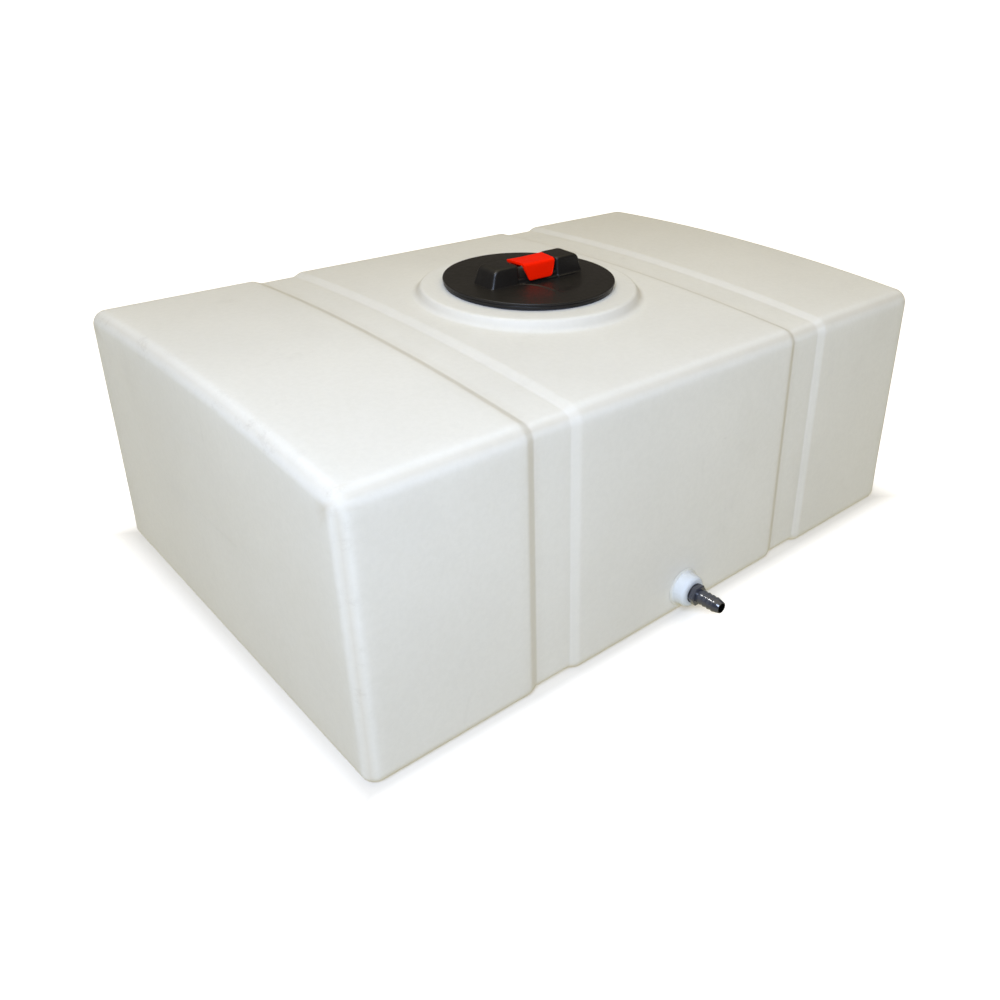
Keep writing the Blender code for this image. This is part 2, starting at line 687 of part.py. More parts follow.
def main():
    clear_scene()
    natural = finish("natural_polyethylene", (0.86, 0.86, 0.82), 0.45)
    black = finish("black_polypropylene", (0.028, 0.027, 0.026), 0.42)
    red = finish("red_polypropylene", (0.78, 0.045, 0.012), 0.38)
    rubber = finish("black_rubber", (0.03, 0.03, 0.032), 0.75)
    silicone = finish("clear_silicone", (0.75, 0.75, 0.72), 0.5)
    grey = finish("grey_pvc", (0.085, 0.09, 0.115), 0.32)
    steel = finish("stainless_steel", (0.62, 0.62, 0.60), 0.3, 1.0)
    outlet = outlet_frame()
    make_tank(natural, outlet)
    make_collar(black, rubber, steel)
    make_lid(black, rubber)
    make_vent(silicone)
    make_catch(red, steel)
    make_outlet(outlet, natural, rubber, grey)


main()
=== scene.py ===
"""Flat moulded fresh water tank: fine surfaces, materials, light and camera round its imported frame.

Metres, +Z up. X runs along the tank, and the outlet is on the -Y face.
"""
import math

import bmesh
import bpy
from mathutils import Matrix, Vector, noise


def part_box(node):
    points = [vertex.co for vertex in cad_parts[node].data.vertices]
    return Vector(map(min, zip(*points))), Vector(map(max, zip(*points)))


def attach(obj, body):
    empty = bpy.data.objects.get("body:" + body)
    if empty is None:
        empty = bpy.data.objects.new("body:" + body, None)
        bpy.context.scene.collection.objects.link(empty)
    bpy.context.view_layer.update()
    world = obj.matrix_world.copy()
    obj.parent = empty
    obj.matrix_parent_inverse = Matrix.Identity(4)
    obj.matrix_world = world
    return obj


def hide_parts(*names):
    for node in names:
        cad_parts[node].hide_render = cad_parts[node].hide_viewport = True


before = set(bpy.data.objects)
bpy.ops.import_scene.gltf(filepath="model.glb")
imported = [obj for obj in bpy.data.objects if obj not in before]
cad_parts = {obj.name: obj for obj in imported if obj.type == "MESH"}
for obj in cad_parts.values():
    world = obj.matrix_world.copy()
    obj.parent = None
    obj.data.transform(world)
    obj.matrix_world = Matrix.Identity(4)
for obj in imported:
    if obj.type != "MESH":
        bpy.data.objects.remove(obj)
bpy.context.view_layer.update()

# ---------------------------------------------------------------- sizes from the frame

HALF_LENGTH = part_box("tank_shell")[1].x
PAD_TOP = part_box("tank_shell")[1].z
COLLAR_LOW, COLLAR_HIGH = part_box("neck_collar")
SEAL_LOW, SEAL_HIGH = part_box("lid_seal")
LID_LOW, LID_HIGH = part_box("lid")
CATCH_LOW, CATCH_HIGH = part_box("safety_catch")
PIN_LOW, PIN_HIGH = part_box("catch_pin")
GASKET_LOW, GASKET_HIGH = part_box("collar_gasket")

# ---------------------------------------------------------------- tank body

HALF_BASE = 0.302
HALF_TOP = 0.288
EDGE_HEIGHT = 0.324
CROWN = 0.011
WALL = 0.006
TOP_RADIUS = 0.020
BOTTOM_RADIUS = 0.014
END_RADIUS = 0.017
SHARPEST = 0.0015
LEAN = math.atan2(HALF_BASE - HALF_TOP, EDGE_HEIGHT)

STRAP_INNER = 0.175
STRAP_OUTER = 0.2455
STRAP_RAMP = 0.011
STRAP_DEPTH = 0.0045
RAMP_CREST_RADIUS = 0.0150
RAMP_ROOT_RADIUS = 0.0090

PAD_RADIUS = 0.1375
PAD_FOOT_RADIUS = 0.1446
PAD_BLEND_RADIUS = 0.157
PAD_EDGE_RADIUS = 0.0060
PAD_ROOT_RADIUS = 0.0100
PAD_PATCH = 0.166
NECK_HOLE = 0.088

OUTLET_HEIGHT = 0.037
PORT_RADIUS = 0.0145
PORT_PATCH = 0.024
PORT_ROWS = 16
PORT_STEP = 0.003

END_DISH = 0.0015
CREASE_WIDTH = 0.009
# How strongly the painted shade darkens each kind of edge that catches the key light, from 0 to 1.
UPRIGHT_SHADE = 0.8
LONG_TOP_SHADE = 1.0
END_TOP_SHADE = 0.55
RAMP_SHADE = 0.5
PAD_WALL_SHADE = 0.8
WEAR_WIDTH = 0.022
UPRIGHT_WEAR = 0.7
FACE_WAVE = 0.0006
LONGEST_STEP = 0.012


def fillet(points, radii, steps=4):
    """A polyline in two coordinates with its inner corners rounded to the given radii."""
    rounded = [Vector(points[0])]
    for before, corner, after, radius in zip(points, points[1:], points[2:], radii):
        corner = Vector(corner)
        back = (Vector(before) - corner).normalized()
        ahead = (Vector(after) - corner).normalized()
        angle = back.angle(ahead)
        if radius <= 0 or angle > math.radians(179):
            rounded.append(corner)
            continue
        reach = radius / math.tan(angle / 2)
        centre = corner + (back + ahead).normalized() * (radius / math.sin(angle / 2))
        start = corner + back * reach - centre
        end = corner + ahead * reach - centre
        sweep = start.angle(end)
        for step in range(steps + 1):
            share = step / steps
            along = start * math.sin((1 - share) * sweep) + end * math.sin(share * sweep)
            rounded.append(centre + along / math.sin(sweep))
    rounded.append(Vector(points[-1]))
    return rounded


def subdivided(points, longest):
    """The same polyline with no stretch longer than longest."""
    fine = [Vector(points[0])]
    for start, end in zip(points, points[1:]):
        start, end = Vector(start), Vector(end)
        pieces = max(1, math.ceil((end - start).length / longest - 1e-6))
        fine += [start.lerp(end, piece / pieces) for piece in range(1, pieces + 1)]
    return fine


def arc(centre, radius, start, end, steps):
    """Points on an arc, angles in degrees."""
    angles = [math.radians(start + (end - start) * step / steps) for step in range(steps + 1)]
    return [Vector((centre[0] + radius * math.cos(a), centre[1] + radius * math.sin(a))) for a in angles]


def new_object(name, bm, smooth_angle=40):
    bmesh.ops.recalc_face_normals(bm, faces=bm.faces)
    mesh = bpy.data.meshes.new(name)
    bm.to_mesh(mesh)
    bm.free()
    mesh.shade_smooth()
    mesh.set_sharp_from_angle(angle=math.radians(smooth_angle))
    made = bpy.data.objects.new(name, mesh)
    bpy.context.scene.collection.objects.link(made)
    return made


def crown_height(y, inset):
    return EDGE_HEIGHT - inset + CROWN * (1 - (y / HALF_TOP) ** 2)


def side_point(inset, z):
    """Where the leaning side, inset evenly, stands at height z."""
    return (math.cos(LEAN) * HALF_BASE - inset - math.sin(LEAN) * z) / math.cos(LEAN)


BOTTOM_STEPS = 14
BOTTOM_ARC_STEPS = 6
SIDE_STEPS = 18
TOP_ARC_STEPS = 9
CROWN_STEPS = 30
PAD_CROWN_HALF = 0.20


def half_section(inset):
    """Half the outline across the tank, on +Y, from the middle of the bottom to the middle of the top."""
    low_radius = max(BOTTOM_RADIUS - inset, SHARPEST)
    high_radius = max(TOP_RADIUS - inset, SHARPEST)
    low_z = inset + low_radius
    low_y = side_point(inset + low_radius, low_z)
    high_z = EDGE_HEIGHT - inset - high_radius
    slope = 0.0
    for _ in range(8):
        high_y = side_point(inset + high_radius, high_z)
        edge_y = high_y + high_radius * math.sin(slope)
        slope = math.atan(2 * CROWN * edge_y / HALF_TOP**2)
        high_z = crown_height(edge_y, inset) - high_radius * math.cos(slope)
    lean = math.degrees(LEAN)
    points = [Vector((low_y * step / BOTTOM_STEPS, inset)) for step in range(BOTTOM_STEPS)]
    points += arc((low_y, low_z), low_radius, -90, lean, BOTTOM_ARC_STEPS)
    shoulder = arc((high_y, high_z), high_radius, lean, 90 - math.degrees(slope), TOP_ARC_STEPS)
    low, high = points[-1], shoulder[0]
    upright = (high - low).normalized()
    points += [low + upright * PORT_STEP * row for row in range(1, PORT_ROWS + 1)]
    low = points[-1]
    points += [low.lerp(high, step / SIDE_STEPS) for step in range(1, SIDE_STEPS)]
    points += shoulder
    edge_y = points[-1].x
    inner_steps = CROWN_STEPS // 4
    for step in range(1, inner_steps + 1):
        y = edge_y + (PAD_PATCH - edge_y) * step / inner_steps
        points.append(Vector((y, crown_height(y, inset))))
    middle_steps = CROWN_STEPS - inner_steps
    for step in range(1, middle_steps + 1):
        y = PAD_PATCH * (1 - step / middle_steps)
        points.append(Vector((y, crown_height(y, inset))))
    return points


PAD_ROWS = CROWN_STEPS - CROWN_STEPS // 4
PORT_FIRST = BOTTOM_STEPS + BOTTOM_ARC_STEPS


def section(inset):
    half = half_section(inset)
    return half + [Vector((-p.x, p.y)) for p in half[-2:0:-1]]


def half_stations(wall):
    """X and inset along half the tank, from its middle to the flat of its end."""
    outline = [
        (PAD_PATCH, 0.0),
        (STRAP_INNER, 0.0),
        (STRAP_INNER + STRAP_RAMP, STRAP_DEPTH),
        (STRAP_OUTER - STRAP_RAMP, STRAP_DEPTH),
        (STRAP_OUTER, 0.0),
        (HALF_LENGTH - END_RADIUS, 0.0),
    ]
    crest, root = max(RAMP_CREST_RADIUS - wall, SHARPEST / 2), RAMP_ROOT_RADIUS + wall / 2
    profile = subdivided(fillet(outline, (crest, root, root, crest)), LONGEST_STEP)
    stations = [(point.x, wall + point.y) for point in profile[:-1]]
    radius = END_RADIUS - wall
    corner = HALF_LENGTH - wall - radius
    for point in arc((corner, 0.0), radius, 90, 0, 8):
        stations.append((point.x, wall + radius - point.y))
    inner = [PORT_STEP * step for step in range(int(PORT_PATCH / PORT_STEP) + 1)]
    spread = 14
    outer = [PORT_PATCH + (PAD_PATCH - PORT_PATCH) * step / spread for step in range(1, spread)]
    return [(x, wall) for x in inner + outer] + stations


def wave(point):
    """The slow unevenness of a rotationally moulded wall."""
    return FACE_WAVE * noise.noise(point * 5.0) + 0.4 * FACE_WAVE * noise.noise(point * 14.0)


def pad_ray(angle, wall):
    """Radius and height along one ray of the pad, from the blend into the crown to the neck hole."""
    def crown_at(radius):
        return crown_height(radius * math.sin(angle), wall)

    foot, edge = PAD_FOOT_RADIUS - wall, PAD_RADIUS - wall
    outline = [
        (PAD_BLEND_RADIUS - wall, crown_at(PAD_BLEND_RADIUS - wall)),
        (foot, crown_at(foot)),
        (edge, PAD_TOP - wall),
        (NECK_HOLE, PAD_TOP - wall),
    ]
    crest = max(PAD_EDGE_RADIUS - wall, SHARPEST)
    rounded = fillet(outline, (PAD_ROOT_RADIUS + wall / 2, crest), 5)
    flat = rounded[-2]
    shared = [flat.lerp(rounded[-1], step / 6) for step in range(1, 7)]
    return rounded[:-1] + shared


def rectangle_loop(rings, i_low, i_high, j_low, j_high):
    """The grid's vertices round a rectangle of it, in order."""
    loop = [rings[i][j_low] for i in range(i_low, i_high)]
    loop += [rings[i_high][j] for j in range(j_low, j_high)]
    loop += [rings[i][j_high] for i in range(i_high, i_low, -1)]
    loop += [rings[i_low][j] for j in range(j_high, j_low, -1)]
    return loop


def stitch(bm, outer, inner):
    count = len(outer)
    for k in range(count):
        following = (k + 1) % count
        bm.faces.new((outer[k], outer[following], inner[following], inner[k]))


def pad_patch(bm, loop, wall):
    """Fill the crown's rectangle with rings that turn round and rise into the pad. Returns the hole's edge."""
    angles = [math.atan2(vert.co.y, vert.co.x) for vert in loop]
    rays = [pad_ray(angle, wall) for angle in angles]
    layers = []
    for share in (0.34, 0.67):
        layer = []
        for vert, angle, ray in zip(loop, angles, rays):
            circle = Vector((math.cos(angle), math.sin(angle))) * ray[0].x
            flat = Vector(vert.co.xy).lerp(circle, share)
            layer.append(bm.verts.new((flat.x, flat.y, crown_height(flat.y, wall))))
        layers.append(layer)
    for step in range(len(rays[0])):
        layer = []
        for angle, ray in zip(angles, rays):
            radius, z = ray[step]
            layer.append(bm.verts.new((radius * math.cos(angle), radius * math.sin(angle), z)))
        layers.append(layer)
    previous = loop
    for layer in layers:
        stitch(bm, previous, layer)
        previous = layer
    return previous


def port_patch(bm, loop, wall):
    """Fill the front face's rectangle down to the round outlet hole. Returns the hole's edge."""
    up = Vector((0.0, math.sin(LEAN), math.cos(LEAN)))
    out = Vector((0.0, -math.cos(LEAN), math.sin(LEAN)))
    centre = Vector((0.0, -side_point(0.0, OUTLET_HEIGHT), OUTLET_HEIGHT)) - out * wall
    previous = loop
    for share in (0.5, 1.0):
        layer = []
        for vert in loop:
            offset = vert.co - centre
            flat = Vector((offset.x, offset.dot(up)))
            flat = flat.lerp(flat.normalized() * PORT_RADIUS, share)
            layer.append(bm.verts.new(centre + Vector((flat.x, 0.0, 0.0)) + up * flat.y))
        stitch(bm, previous, layer)
        previous = layer
    return previous


def end_cap(bm, ring, side, steps=9):
    """Close an end with shrinking copies of its outline, dished a little like a cooled moulding."""
    middle_z = sum(vert.co.z for vert in ring) / len(ring)
    reach = HALF_BASE - EDGE_HEIGHT / 2
    previous = ring
    for step in range(1, steps):
        share = step / steps
        dish = END_DISH * share * share * (3 - 2 * share)
        layer = []
        for vert in ring:
            spine = Vector((vert.co.x, max(-reach, min(reach, vert.co.y)), middle_z))
            place = vert.co.lerp(spine, share)
            place.x -= side * dish
            layer.append(bm.verts.new(place))
        stitch(bm, previous, layer)
        previous = layer
    bm.faces.new(previous)


def tank_skin(bm, wall):
    """One closed skin of the tank with its two holes left open. Returns the holes' edges."""
    half = half_stations(wall)
    stations = [(-x, inset) for x, inset in reversed(half[1:])] + half
    rings = [[bm.verts.new((x, *point)) for point in section(inset)] for x, inset in stations]
    middle = len(half) - 1
    patch_x = [x for x, _ in half].index(next(x for x, _ in half if x > PAD_PATCH - 1e-6))
    port_x = int(PORT_PATCH / PORT_STEP)
    top = len(half_section(wall)) - 1
    count = len(rings[0])
    pad_low, pad_high = top - PAD_ROWS, top + PAD_ROWS
    port_low, port_high = count - PORT_FIRST - PORT_ROWS, count - PORT_FIRST
    for i in range(len(rings) - 1):
        in_pad = middle - patch_x <= i < middle + patch_x
        in_port = middle - port_x <= i < middle + port_x
        for j in range(count):
            if in_pad and pad_low <= j < pad_high or in_port and port_low <= j < port_high:
                continue
            k = (j + 1) % count
            bm.faces.new((rings[i][j], rings[i][k], rings[i + 1][k], rings[i + 1][j]))
    end_cap(bm, rings[0], -1)
    end_cap(bm, rings[-1], 1)
    pad_loop = rectangle_loop(rings, middle - patch_x, middle + patch_x, pad_low, pad_high)
    port_loop = rectangle_loop(rings, middle - port_x, middle + port_x, port_low, port_high)
    return pad_patch(bm, pad_loop, wall), port_patch(bm, port_loop, wall)


def crease(first, second, radius, width):
    """1 along the middle of a rounded edge, from the depths below its two faces, 0 off it."""
    if first > radius or second > radius:
        return 0.0
    return max(0.0, 1 - abs(first - second) / width)


def mark_edges(mesh):
    """Store, from 0 to 1, how much painted shade each vertex takes where an edge, strap ramp or pad wall catches the
    key light, and how worn its edge is.
    """
    painted_shade = mesh.attributes.new("edge_painted_shade", "FLOAT", "POINT")
    rubbed = mesh.attributes.new("edge_wear", "FLOAT", "POINT")
    for vert, value, wear in zip(mesh.vertices, painted_shade.data, rubbed.data):
        place = vert.co
        end = HALF_LENGTH - abs(place.x)
        side = side_point(0.0, place.z) - abs(place.y)
        top = crown_height(place.y, 0.0) - place.z
        upright = UPRIGHT_SHADE * crease(end, side, END_RADIUS, CREASE_WIDTH)
        long_top = LONG_TOP_SHADE * crease(top, side, TOP_RADIUS, CREASE_WIDTH)
        end_top = END_TOP_SHADE * crease(top, end, END_RADIUS, CREASE_WIDTH)
        edge = min(abs(abs(place.x) - edge) for edge in (STRAP_INNER + STRAP_RAMP / 2, STRAP_OUTER - STRAP_RAMP / 2))
        ramp = RAMP_SHADE * max(0.0, 1 - edge / STRAP_RAMP)
        radius = math.hypot(place.x, place.y)
        middle = (PAD_RADIUS + PAD_FOOT_RADIUS) / 2
        wall = PAD_WALL_SHADE * max(0.0, 1 - abs(radius - middle) / PAD_EDGE_RADIUS) if place.z > EDGE_HEIGHT else 0.0
        value.value = max(upright, long_top, end_top, ramp, wall)
        wear.value = max(
            crease(top, end, END_RADIUS, WEAR_WIDTH),
            UPRIGHT_WEAR * crease(end, side, END_RADIUS, WEAR_WIDTH),
        )


def make_tank():
    bm = bmesh.new()
    outer_neck, outer_port = tank_skin(bm, 0.0)
    inner_neck, inner_port = tank_skin(bm, WALL)
    stitch(bm, outer_neck, inner_neck)
    stitch(bm, outer_port, inner_port)
    for vert in bm.verts:
        x, y, z = vert.co
        away = min(1.0, z / 0.06) * min(1.0, max(0.0, math.hypot(x, y) - PAD_BLEND_RADIUS) / 0.05 + (z < 0.3))
        near_port = min(1.0, math.hypot(x, z - OUTLET_HEIGHT) / 0.08) if y < 0 else 1.0
        vert.co += Vector((x, y, 0.0)).normalized() * wave(vert.co) * away * near_port
    tank = new_object("tank_body", bm, 50)
    mark_edges(tank.data)
    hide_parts("tank_shell")
    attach(tank, "tank")
    return tank


# ---------------------------------------------------------------- small building blocks

def turned(name, profile, steps, radial=None, smooth_angle=40):
    """Turn a closed or axis-touching (r, z) profile about Z. radial(angle, z) adds to the radius."""
    bm = bmesh.new()
    columns = []
    for step in range(steps):
        angle = math.tau * step / steps
        column = []
        for r, z in profile:
            if r < 1e-6:
                column.append(None)
                continue
            reach = r + (radial(angle, r, z) if radial else 0.0)
            column.append(bm.verts.new((reach * math.cos(angle), reach * math.sin(angle), z)))
        columns.append(column)
    poles = {index: bm.verts.new((0.0, 0.0, z)) for index, (r, z) in enumerate(profile) if r < 1e-6}
    open_ended = 0 in poles
    last = len(profile) - 1
    for step in range(steps):
        here, ahead = columns[step], columns[(step + 1) % steps]
        for index in range(last + (not open_ended)):
            following = (index + 1) % len(profile)
            corners = [
                here[index] or poles[index],
                ahead[index] or poles[index],
                ahead[following] or poles[following],
                here[following] or poles[following],
            ]
            unique = list(dict.fromkeys(corners))
            bm.faces.new(unique)
    return new_object(name, bm, smooth_angle)


def rounded_rectangle(centre_x, half_x, half_y, radius, steps=5):
    loop = []
    for sx, sy, start in ((1, 1, 0), (-1, 1, 90), (-1, -1, 180), (1, -1, 270)):
        middle = (centre_x + sx * (half_x - radius), sy * (half_y - radius))
        loop += arc(middle, radius, start, start + 90, steps)
    return loop


def loft(name, layers, smooth_angle=40):
    """Close a stack of loops, each a list of points, into one solid."""
    bm = bmesh.new()
    rings = [[bm.verts.new(point) for point in layer] for layer in layers]
    for low, high in zip(rings, rings[1:]):
        stitch(bm, low, high)
    bm.faces.new(rings[0])
    bm.faces.new(rings[-1])
    return new_object(name, bm, smooth_angle)


def combine(target, tool, operation):
    """Apply a Boolean of tool on target and throw the tool away."""
    modifier = target.modifiers.new("combine", "BOOLEAN")
    modifier.operation = operation
    modifier.solver = "EXACT"
    modifier.object = tool
    graph = bpy.context.evaluated_depsgraph_get()
    mesh = bpy.data.meshes.new_from_object(target.evaluated_get(graph))
    target.modifiers.clear()
    target.data = mesh
    bpy.data.objects.remove(tool, do_unlink=True)
    mesh.shade_smooth()
    mesh.set_sharp_from_angle(angle=math.radians(32))


def place(piece, body, slot, *nodes):
    if nodes:
        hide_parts(*nodes)
    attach(piece, body)


def smooth(value):
    value = max(0.0, min(1.0, value))
    return value * value * (3 - 2 * value)


# ---------------------------------------------------------------- lid

GAP = 0.0003
LID_RADIUS = LID_HIGH.x
LID_UNDERSIDE = SEAL_HIGH.z + GAP
LID_TOP = LID_UNDERSIDE + 0.0038
LID_ROOF = LID_UNDERSIDE - 0.0012
RIM_RADIUS = 0.0010
RIM_FALL = 0.0006
RIM_START = 0.084
POCKET_DEPTH = 0.0026
POCKET_RADIUS = 0.0790
POCKET_EDGE = 0.0020
POCKET_FADE = 0.0220
BEAD_HEIGHT = 0.0012
LID_STEP = 0.0012
BEAD_WIDTH = 0.0016
SKIRT_OUTER = 0.0795
SKIRT_INNER = 0.0755
SKIRT_BOTTOM = LID_LOW.z
THREAD_PITCH = 0.0062
THREAD_HEIGHT = 0.0009
THREAD_LOW = SKIRT_BOTTOM + 0.0015
THREAD_HIGH = SKIRT_BOTTOM + 0.0150
HANDLE_FOOT = (0.0745, 0.0196)
HANDLE_CREST = (0.0680, 0.0172)
HANDLE_CORNER = 0.0042
HANDLE_TOP_RADIUS = 0.0030
HANDLE_END_RADIUS = 0.0075
HANDLE_FLARE = 0.0024
HANDLE_WALL = 0.003
NOTCH_HALF = 0.031
CREST = LID_HIGH.z
WEB_TOP = LID_TOP - 0.0016 + 0.0075
PIN_RADIUS = (PIN_HIGH.z - PIN_LOW.z) / 2
PIN_PLACE = Vector(((0.0), (PIN_LOW.y + PIN_HIGH.y) / 2, (PIN_LOW.z + PIN_HIGH.z) / 2))


def pocket_line(x, y):
    """How far a point lies inside the curved near edge of the finger pocket beside the handle."""
    if y > 0:
        x, y = -x, -y
    return x + 0.0125 + 0.0255 * math.exp(min(0.0, y + 0.018) / 0.012)


def pocket_share(x, y):
    """1 on the floor of the finger pocket on each side of the handle, 0 outside it."""
    within = (POCKET_RADIUS - math.hypot(x, y)) / POCKET_FADE
    return smooth(pocket_line(x, y) / POCKET_EDGE) * smooth(within) * smooth((abs(y) - 0.006) / 0.006)


def pocket_bead(x, y):
    """The fine raised line that borders the pocket's near edge."""
    within = smooth((POCKET_RADIUS - 0.006 - math.hypot(x, y)) / 0.008) * smooth((abs(y) - 0.018) / 0.004)
    return BEAD_HEIGHT * math.exp(-((pocket_line(x, y) / BEAD_WIDTH) ** 2)) * within


def lid_surface(x, y):
    radius = math.hypot(x, y)
    fall = RIM_FALL * smooth((radius - RIM_START) / (LID_RADIUS - RIM_START))
    return LID_TOP - fall - POCKET_DEPTH * pocket_share(x, y) + pocket_bead(x, y)


def thread_ridge(angle, radius, z, pitch=THREAD_PITCH):
    """Height of a rounded helical ridge at this angle and height, from 0 to 1."""
    phase = (z / pitch - angle / math.tau) % 1.0
    ends = smooth((z - THREAD_LOW) / 0.001) * smooth((THREAD_HIGH - z) / 0.001)
    return smooth(1 - abs(phase - 0.5) / 0.26) * ends


def lid_disc():
    steps = 240
    bm = bmesh.new()
    top = [LID_STEP * step for step in range(1, int((LID_RADIUS - RIM_RADIUS) / LID_STEP) + 1)]
    profile = [(r, None) for r in top]
    rim_z = LID_TOP - RIM_FALL
    profile += [(p.x, p.y) for p in arc((LID_RADIUS - RIM_RADIUS, rim_z - RIM_RADIUS), RIM_RADIUS, 90, 0, 4)]
    low_rim = arc((LID_RADIUS - 0.0006, LID_UNDERSIDE + 0.0006), 0.0006, 0, -90, 3)
    profile += [(p.x, p.y) for p in low_rim]
    profile += [(SKIRT_OUTER, LID_UNDERSIDE)]
    rows = 44
    for row in range(rows + 1):
        profile.append((SKIRT_OUTER, LID_UNDERSIDE - 0.0005 - (LID_UNDERSIDE - 0.0005 - SKIRT_BOTTOM) * row / rows))
    profile += [(SKIRT_INNER, SKIRT_BOTTOM), (SKIRT_INNER, LID_ROOF + 0.0)]
    rings = []
    for r, z in profile:
        ring = []
        for step in range(steps):
            angle = math.tau * step / steps
            reach = r
            if z is not None and abs(r - SKIRT_OUTER) < 1e-6:
                reach += THREAD_HEIGHT * thread_ridge(angle, r, z)
            x, y = reach * math.cos(angle), reach * math.sin(angle)
            ring.append(bm.verts.new((x, y, lid_surface(x, y) if z is None else z)))
        rings.append(ring)
    for outer, inner in zip(rings, rings[1:]):
        stitch(bm, outer, inner)
    centre = bm.verts.new((0, 0, lid_surface(0, 0)))
    for step in range(steps):
        bm.faces.new((rings[0][step], rings[0][(step + 1) % steps], centre))
    bm.faces.new(rings[-1])
    return new_object("screw_lid", bm, 32)


def rounding(z, top, radius):
    """How far a vertical face has drawn in at height z under a rounded top edge."""
    rise = min(radius, max(0.0, z - (top - radius)))
    return radius - math.sqrt(radius * radius - rise * rise)


def handle_block(name, inner_x, top_z, foot, crest, side):
    """A block with rounded top edges and a flared foot. inner_x None makes it span the middle."""
    end_radius = HANDLE_TOP_RADIUS if inner_x is None else HANDLE_END_RADIUS
    low = LID_TOP - POCKET_DEPTH * 0.5
    heights = [LID_ROOF + 0.0014]
    heights += [low + HANDLE_FLARE * (1 - math.cos(math.radians(18 * step))) for step in range(6)]
    heights += [top_z - end_radius * (1 - math.sin(math.radians(9 * step))) for step in range(11)]
    layers = []
    for z in sorted(heights):
        flare_share = max(0.0, 1 - max(0.0, z - low) / HANDLE_FLARE)
        flare = HANDLE_FLARE * (1 - math.sqrt(1 - flare_share * flare_share))
        share = max(0.0, (z - LID_TOP) / (CREST - LID_TOP))
        edge = rounding(z, top_z, HANDLE_TOP_RADIUS)
        half_y = foot[1] + (crest[1] - foot[1]) * share + flare - edge
        outer = foot[0] + (crest[0] - foot[0]) * share + flare - rounding(z, top_z, end_radius)
        if inner_x is None:
            loop = rounded_rectangle(0.0, outer, half_y, HANDLE_CORNER)
        else:
            near = inner_x + edge
            loop = rounded_rectangle(side * (near + outer) / 2, (outer - near) / 2, half_y, HANDLE_CORNER)
        layers.append([(p.x, p.y, z) for p in loop])
    return loft(name, layers, 32)


def tapered_block(name, low, high, low_z, high_z):
    """low and high are (x from, x to, half y)."""
    layers = []
    for (start, end, half_y), z in ((low, low_z), (high, high_z)):
        loop = rounded_rectangle((start + end) / 2, abs(end - start) / 2, half_y, 0.0015, 3)
        layers.append([(p.x, p.y, z) for p in loop])
    return loft(name, layers)


def cross_cylinder(name, radius, half, y, z, steps=24):
    layers = []
    for x in (-half, half):
        layers.append([(x, y + p.x, z + p.y) for p in arc((0, 0), radius, 0, 360, steps)[:-1]])
    return loft(name, layers)


def make_lid():
    lid = lid_disc()
    for side in (-1, 1):
        combine(lid, handle_block("hump", NOTCH_HALF, CREST, HANDLE_FOOT, HANDLE_CREST, side), "UNION")
    web = (NOTCH_HALF + 0.004, HANDLE_FOOT[1] - 0.0018)
    combine(lid, handle_block("web", None, WEB_TOP, web, web, 1), "UNION")
    inner = NOTCH_HALF + HANDLE_WALL
    foot, crest = HANDLE_FOOT[0] - HANDLE_WALL, HANDLE_CREST[0] - HANDLE_WALL
    half_foot, half_crest = HANDLE_FOOT[1] - HANDLE_WALL, HANDLE_CREST[1] - HANDLE_WALL
    low_z = LID_ROOF - 0.004
    for side in (-1, 1):
        low = (side * inner, side * foot, half_foot)
        high = (side * inner, side * crest, half_crest)
        combine(lid, tapered_block("hollow", low, high, low_z, CREST - HANDLE_WALL), "DIFFERENCE")
    reach = NOTCH_HALF - HANDLE_WALL
    web_hollow = (-reach, reach, half_foot - HANDLE_WALL)
    combine(lid, tapered_block("hollow", web_hollow, web_hollow, low_z, WEB_TOP - HANDLE_WALL), "DIFFERENCE")
    combine(lid, cross_cylinder("hole", PIN_RADIUS + GAP, PIN_HIGH.x + 0.002, PIN_PLACE.y, PIN_PLACE.z), "DIFFERENCE")
    place(lid, "lid", "black_plastic", "lid")
    return lid


# ---------------------------------------------------------------- neck collar, gasket, backing ring and screws

COLLAR_FLANGE = 0.0036


def collar_groove(angle, radius, z):
    """The collar's inner wall carries the lid's thread as a shallow groove."""
    return 0.0022 * thread_ridge(angle, radius, z) if radius < COLLAR_HIGH.x * 0.78 else 0.0


SCREW_COUNT = 8
SCREW_CIRCLE = 0.0985
SCREW_HEAD_RADIUS = 0.0048
SCREW_RADIUS = 0.0025


def screw_angles():
    return [math.tau * (index + 0.5) / SCREW_COUNT for index in range(SCREW_COUNT)]


def make_collar():
    flange_low = COLLAR_HIGH.z - COLLAR_FLANGE
    radius = COLLAR_HIGH.x
    neck_outer, neck_inner, seat = 0.0872, 0.0810, 0.0874
    seat_z = COLLAR_HIGH.z - 0.0027
    outline = [
        (neck_inner, COLLAR_LOW.z),
        (neck_outer, COLLAR_LOW.z),
        (neck_outer, flange_low),
        (radius, flange_low),
        (radius, COLLAR_HIGH.z),
        (seat, COLLAR_HIGH.z),
        (seat, seat_z),
        (neck_inner, seat_z),
    ]
    profile = fillet(outline, (0.0006, 0.0006, 0.0004, 0.0008, 0.0005, 0.0002), 3)
    inner_rows = 40
    low, high = Vector(outline[0]), profile[-1]
    inner = [high.lerp(low, row / inner_rows) for row in range(1, inner_rows)]
    collar = turned("collar_ring", profile + inner, 180, collar_groove, 35)
    head = SCREW_HEAD_RADIUS + 0.0005
    for angle in screw_angles():
        x, y = SCREW_CIRCLE * math.cos(angle), SCREW_CIRCLE * math.sin(angle)
        outline = [
            (SCREW_RADIUS + 0.0005, flange_low - 0.002),
            (SCREW_RADIUS + 0.0005, COLLAR_HIGH.z - 0.0031),
            (head, COLLAR_HIGH.z + GAP),
        ]
        layers = [[(x + p.x, y + p.y, z) for p in arc((0, 0), r, 0, 360, 24)[:-1]] for r, z in outline]
        combine(collar, loft("cutter", layers), "DIFFERENCE")
    place(collar, "tank", "black_plastic", "neck_collar")
    return collar


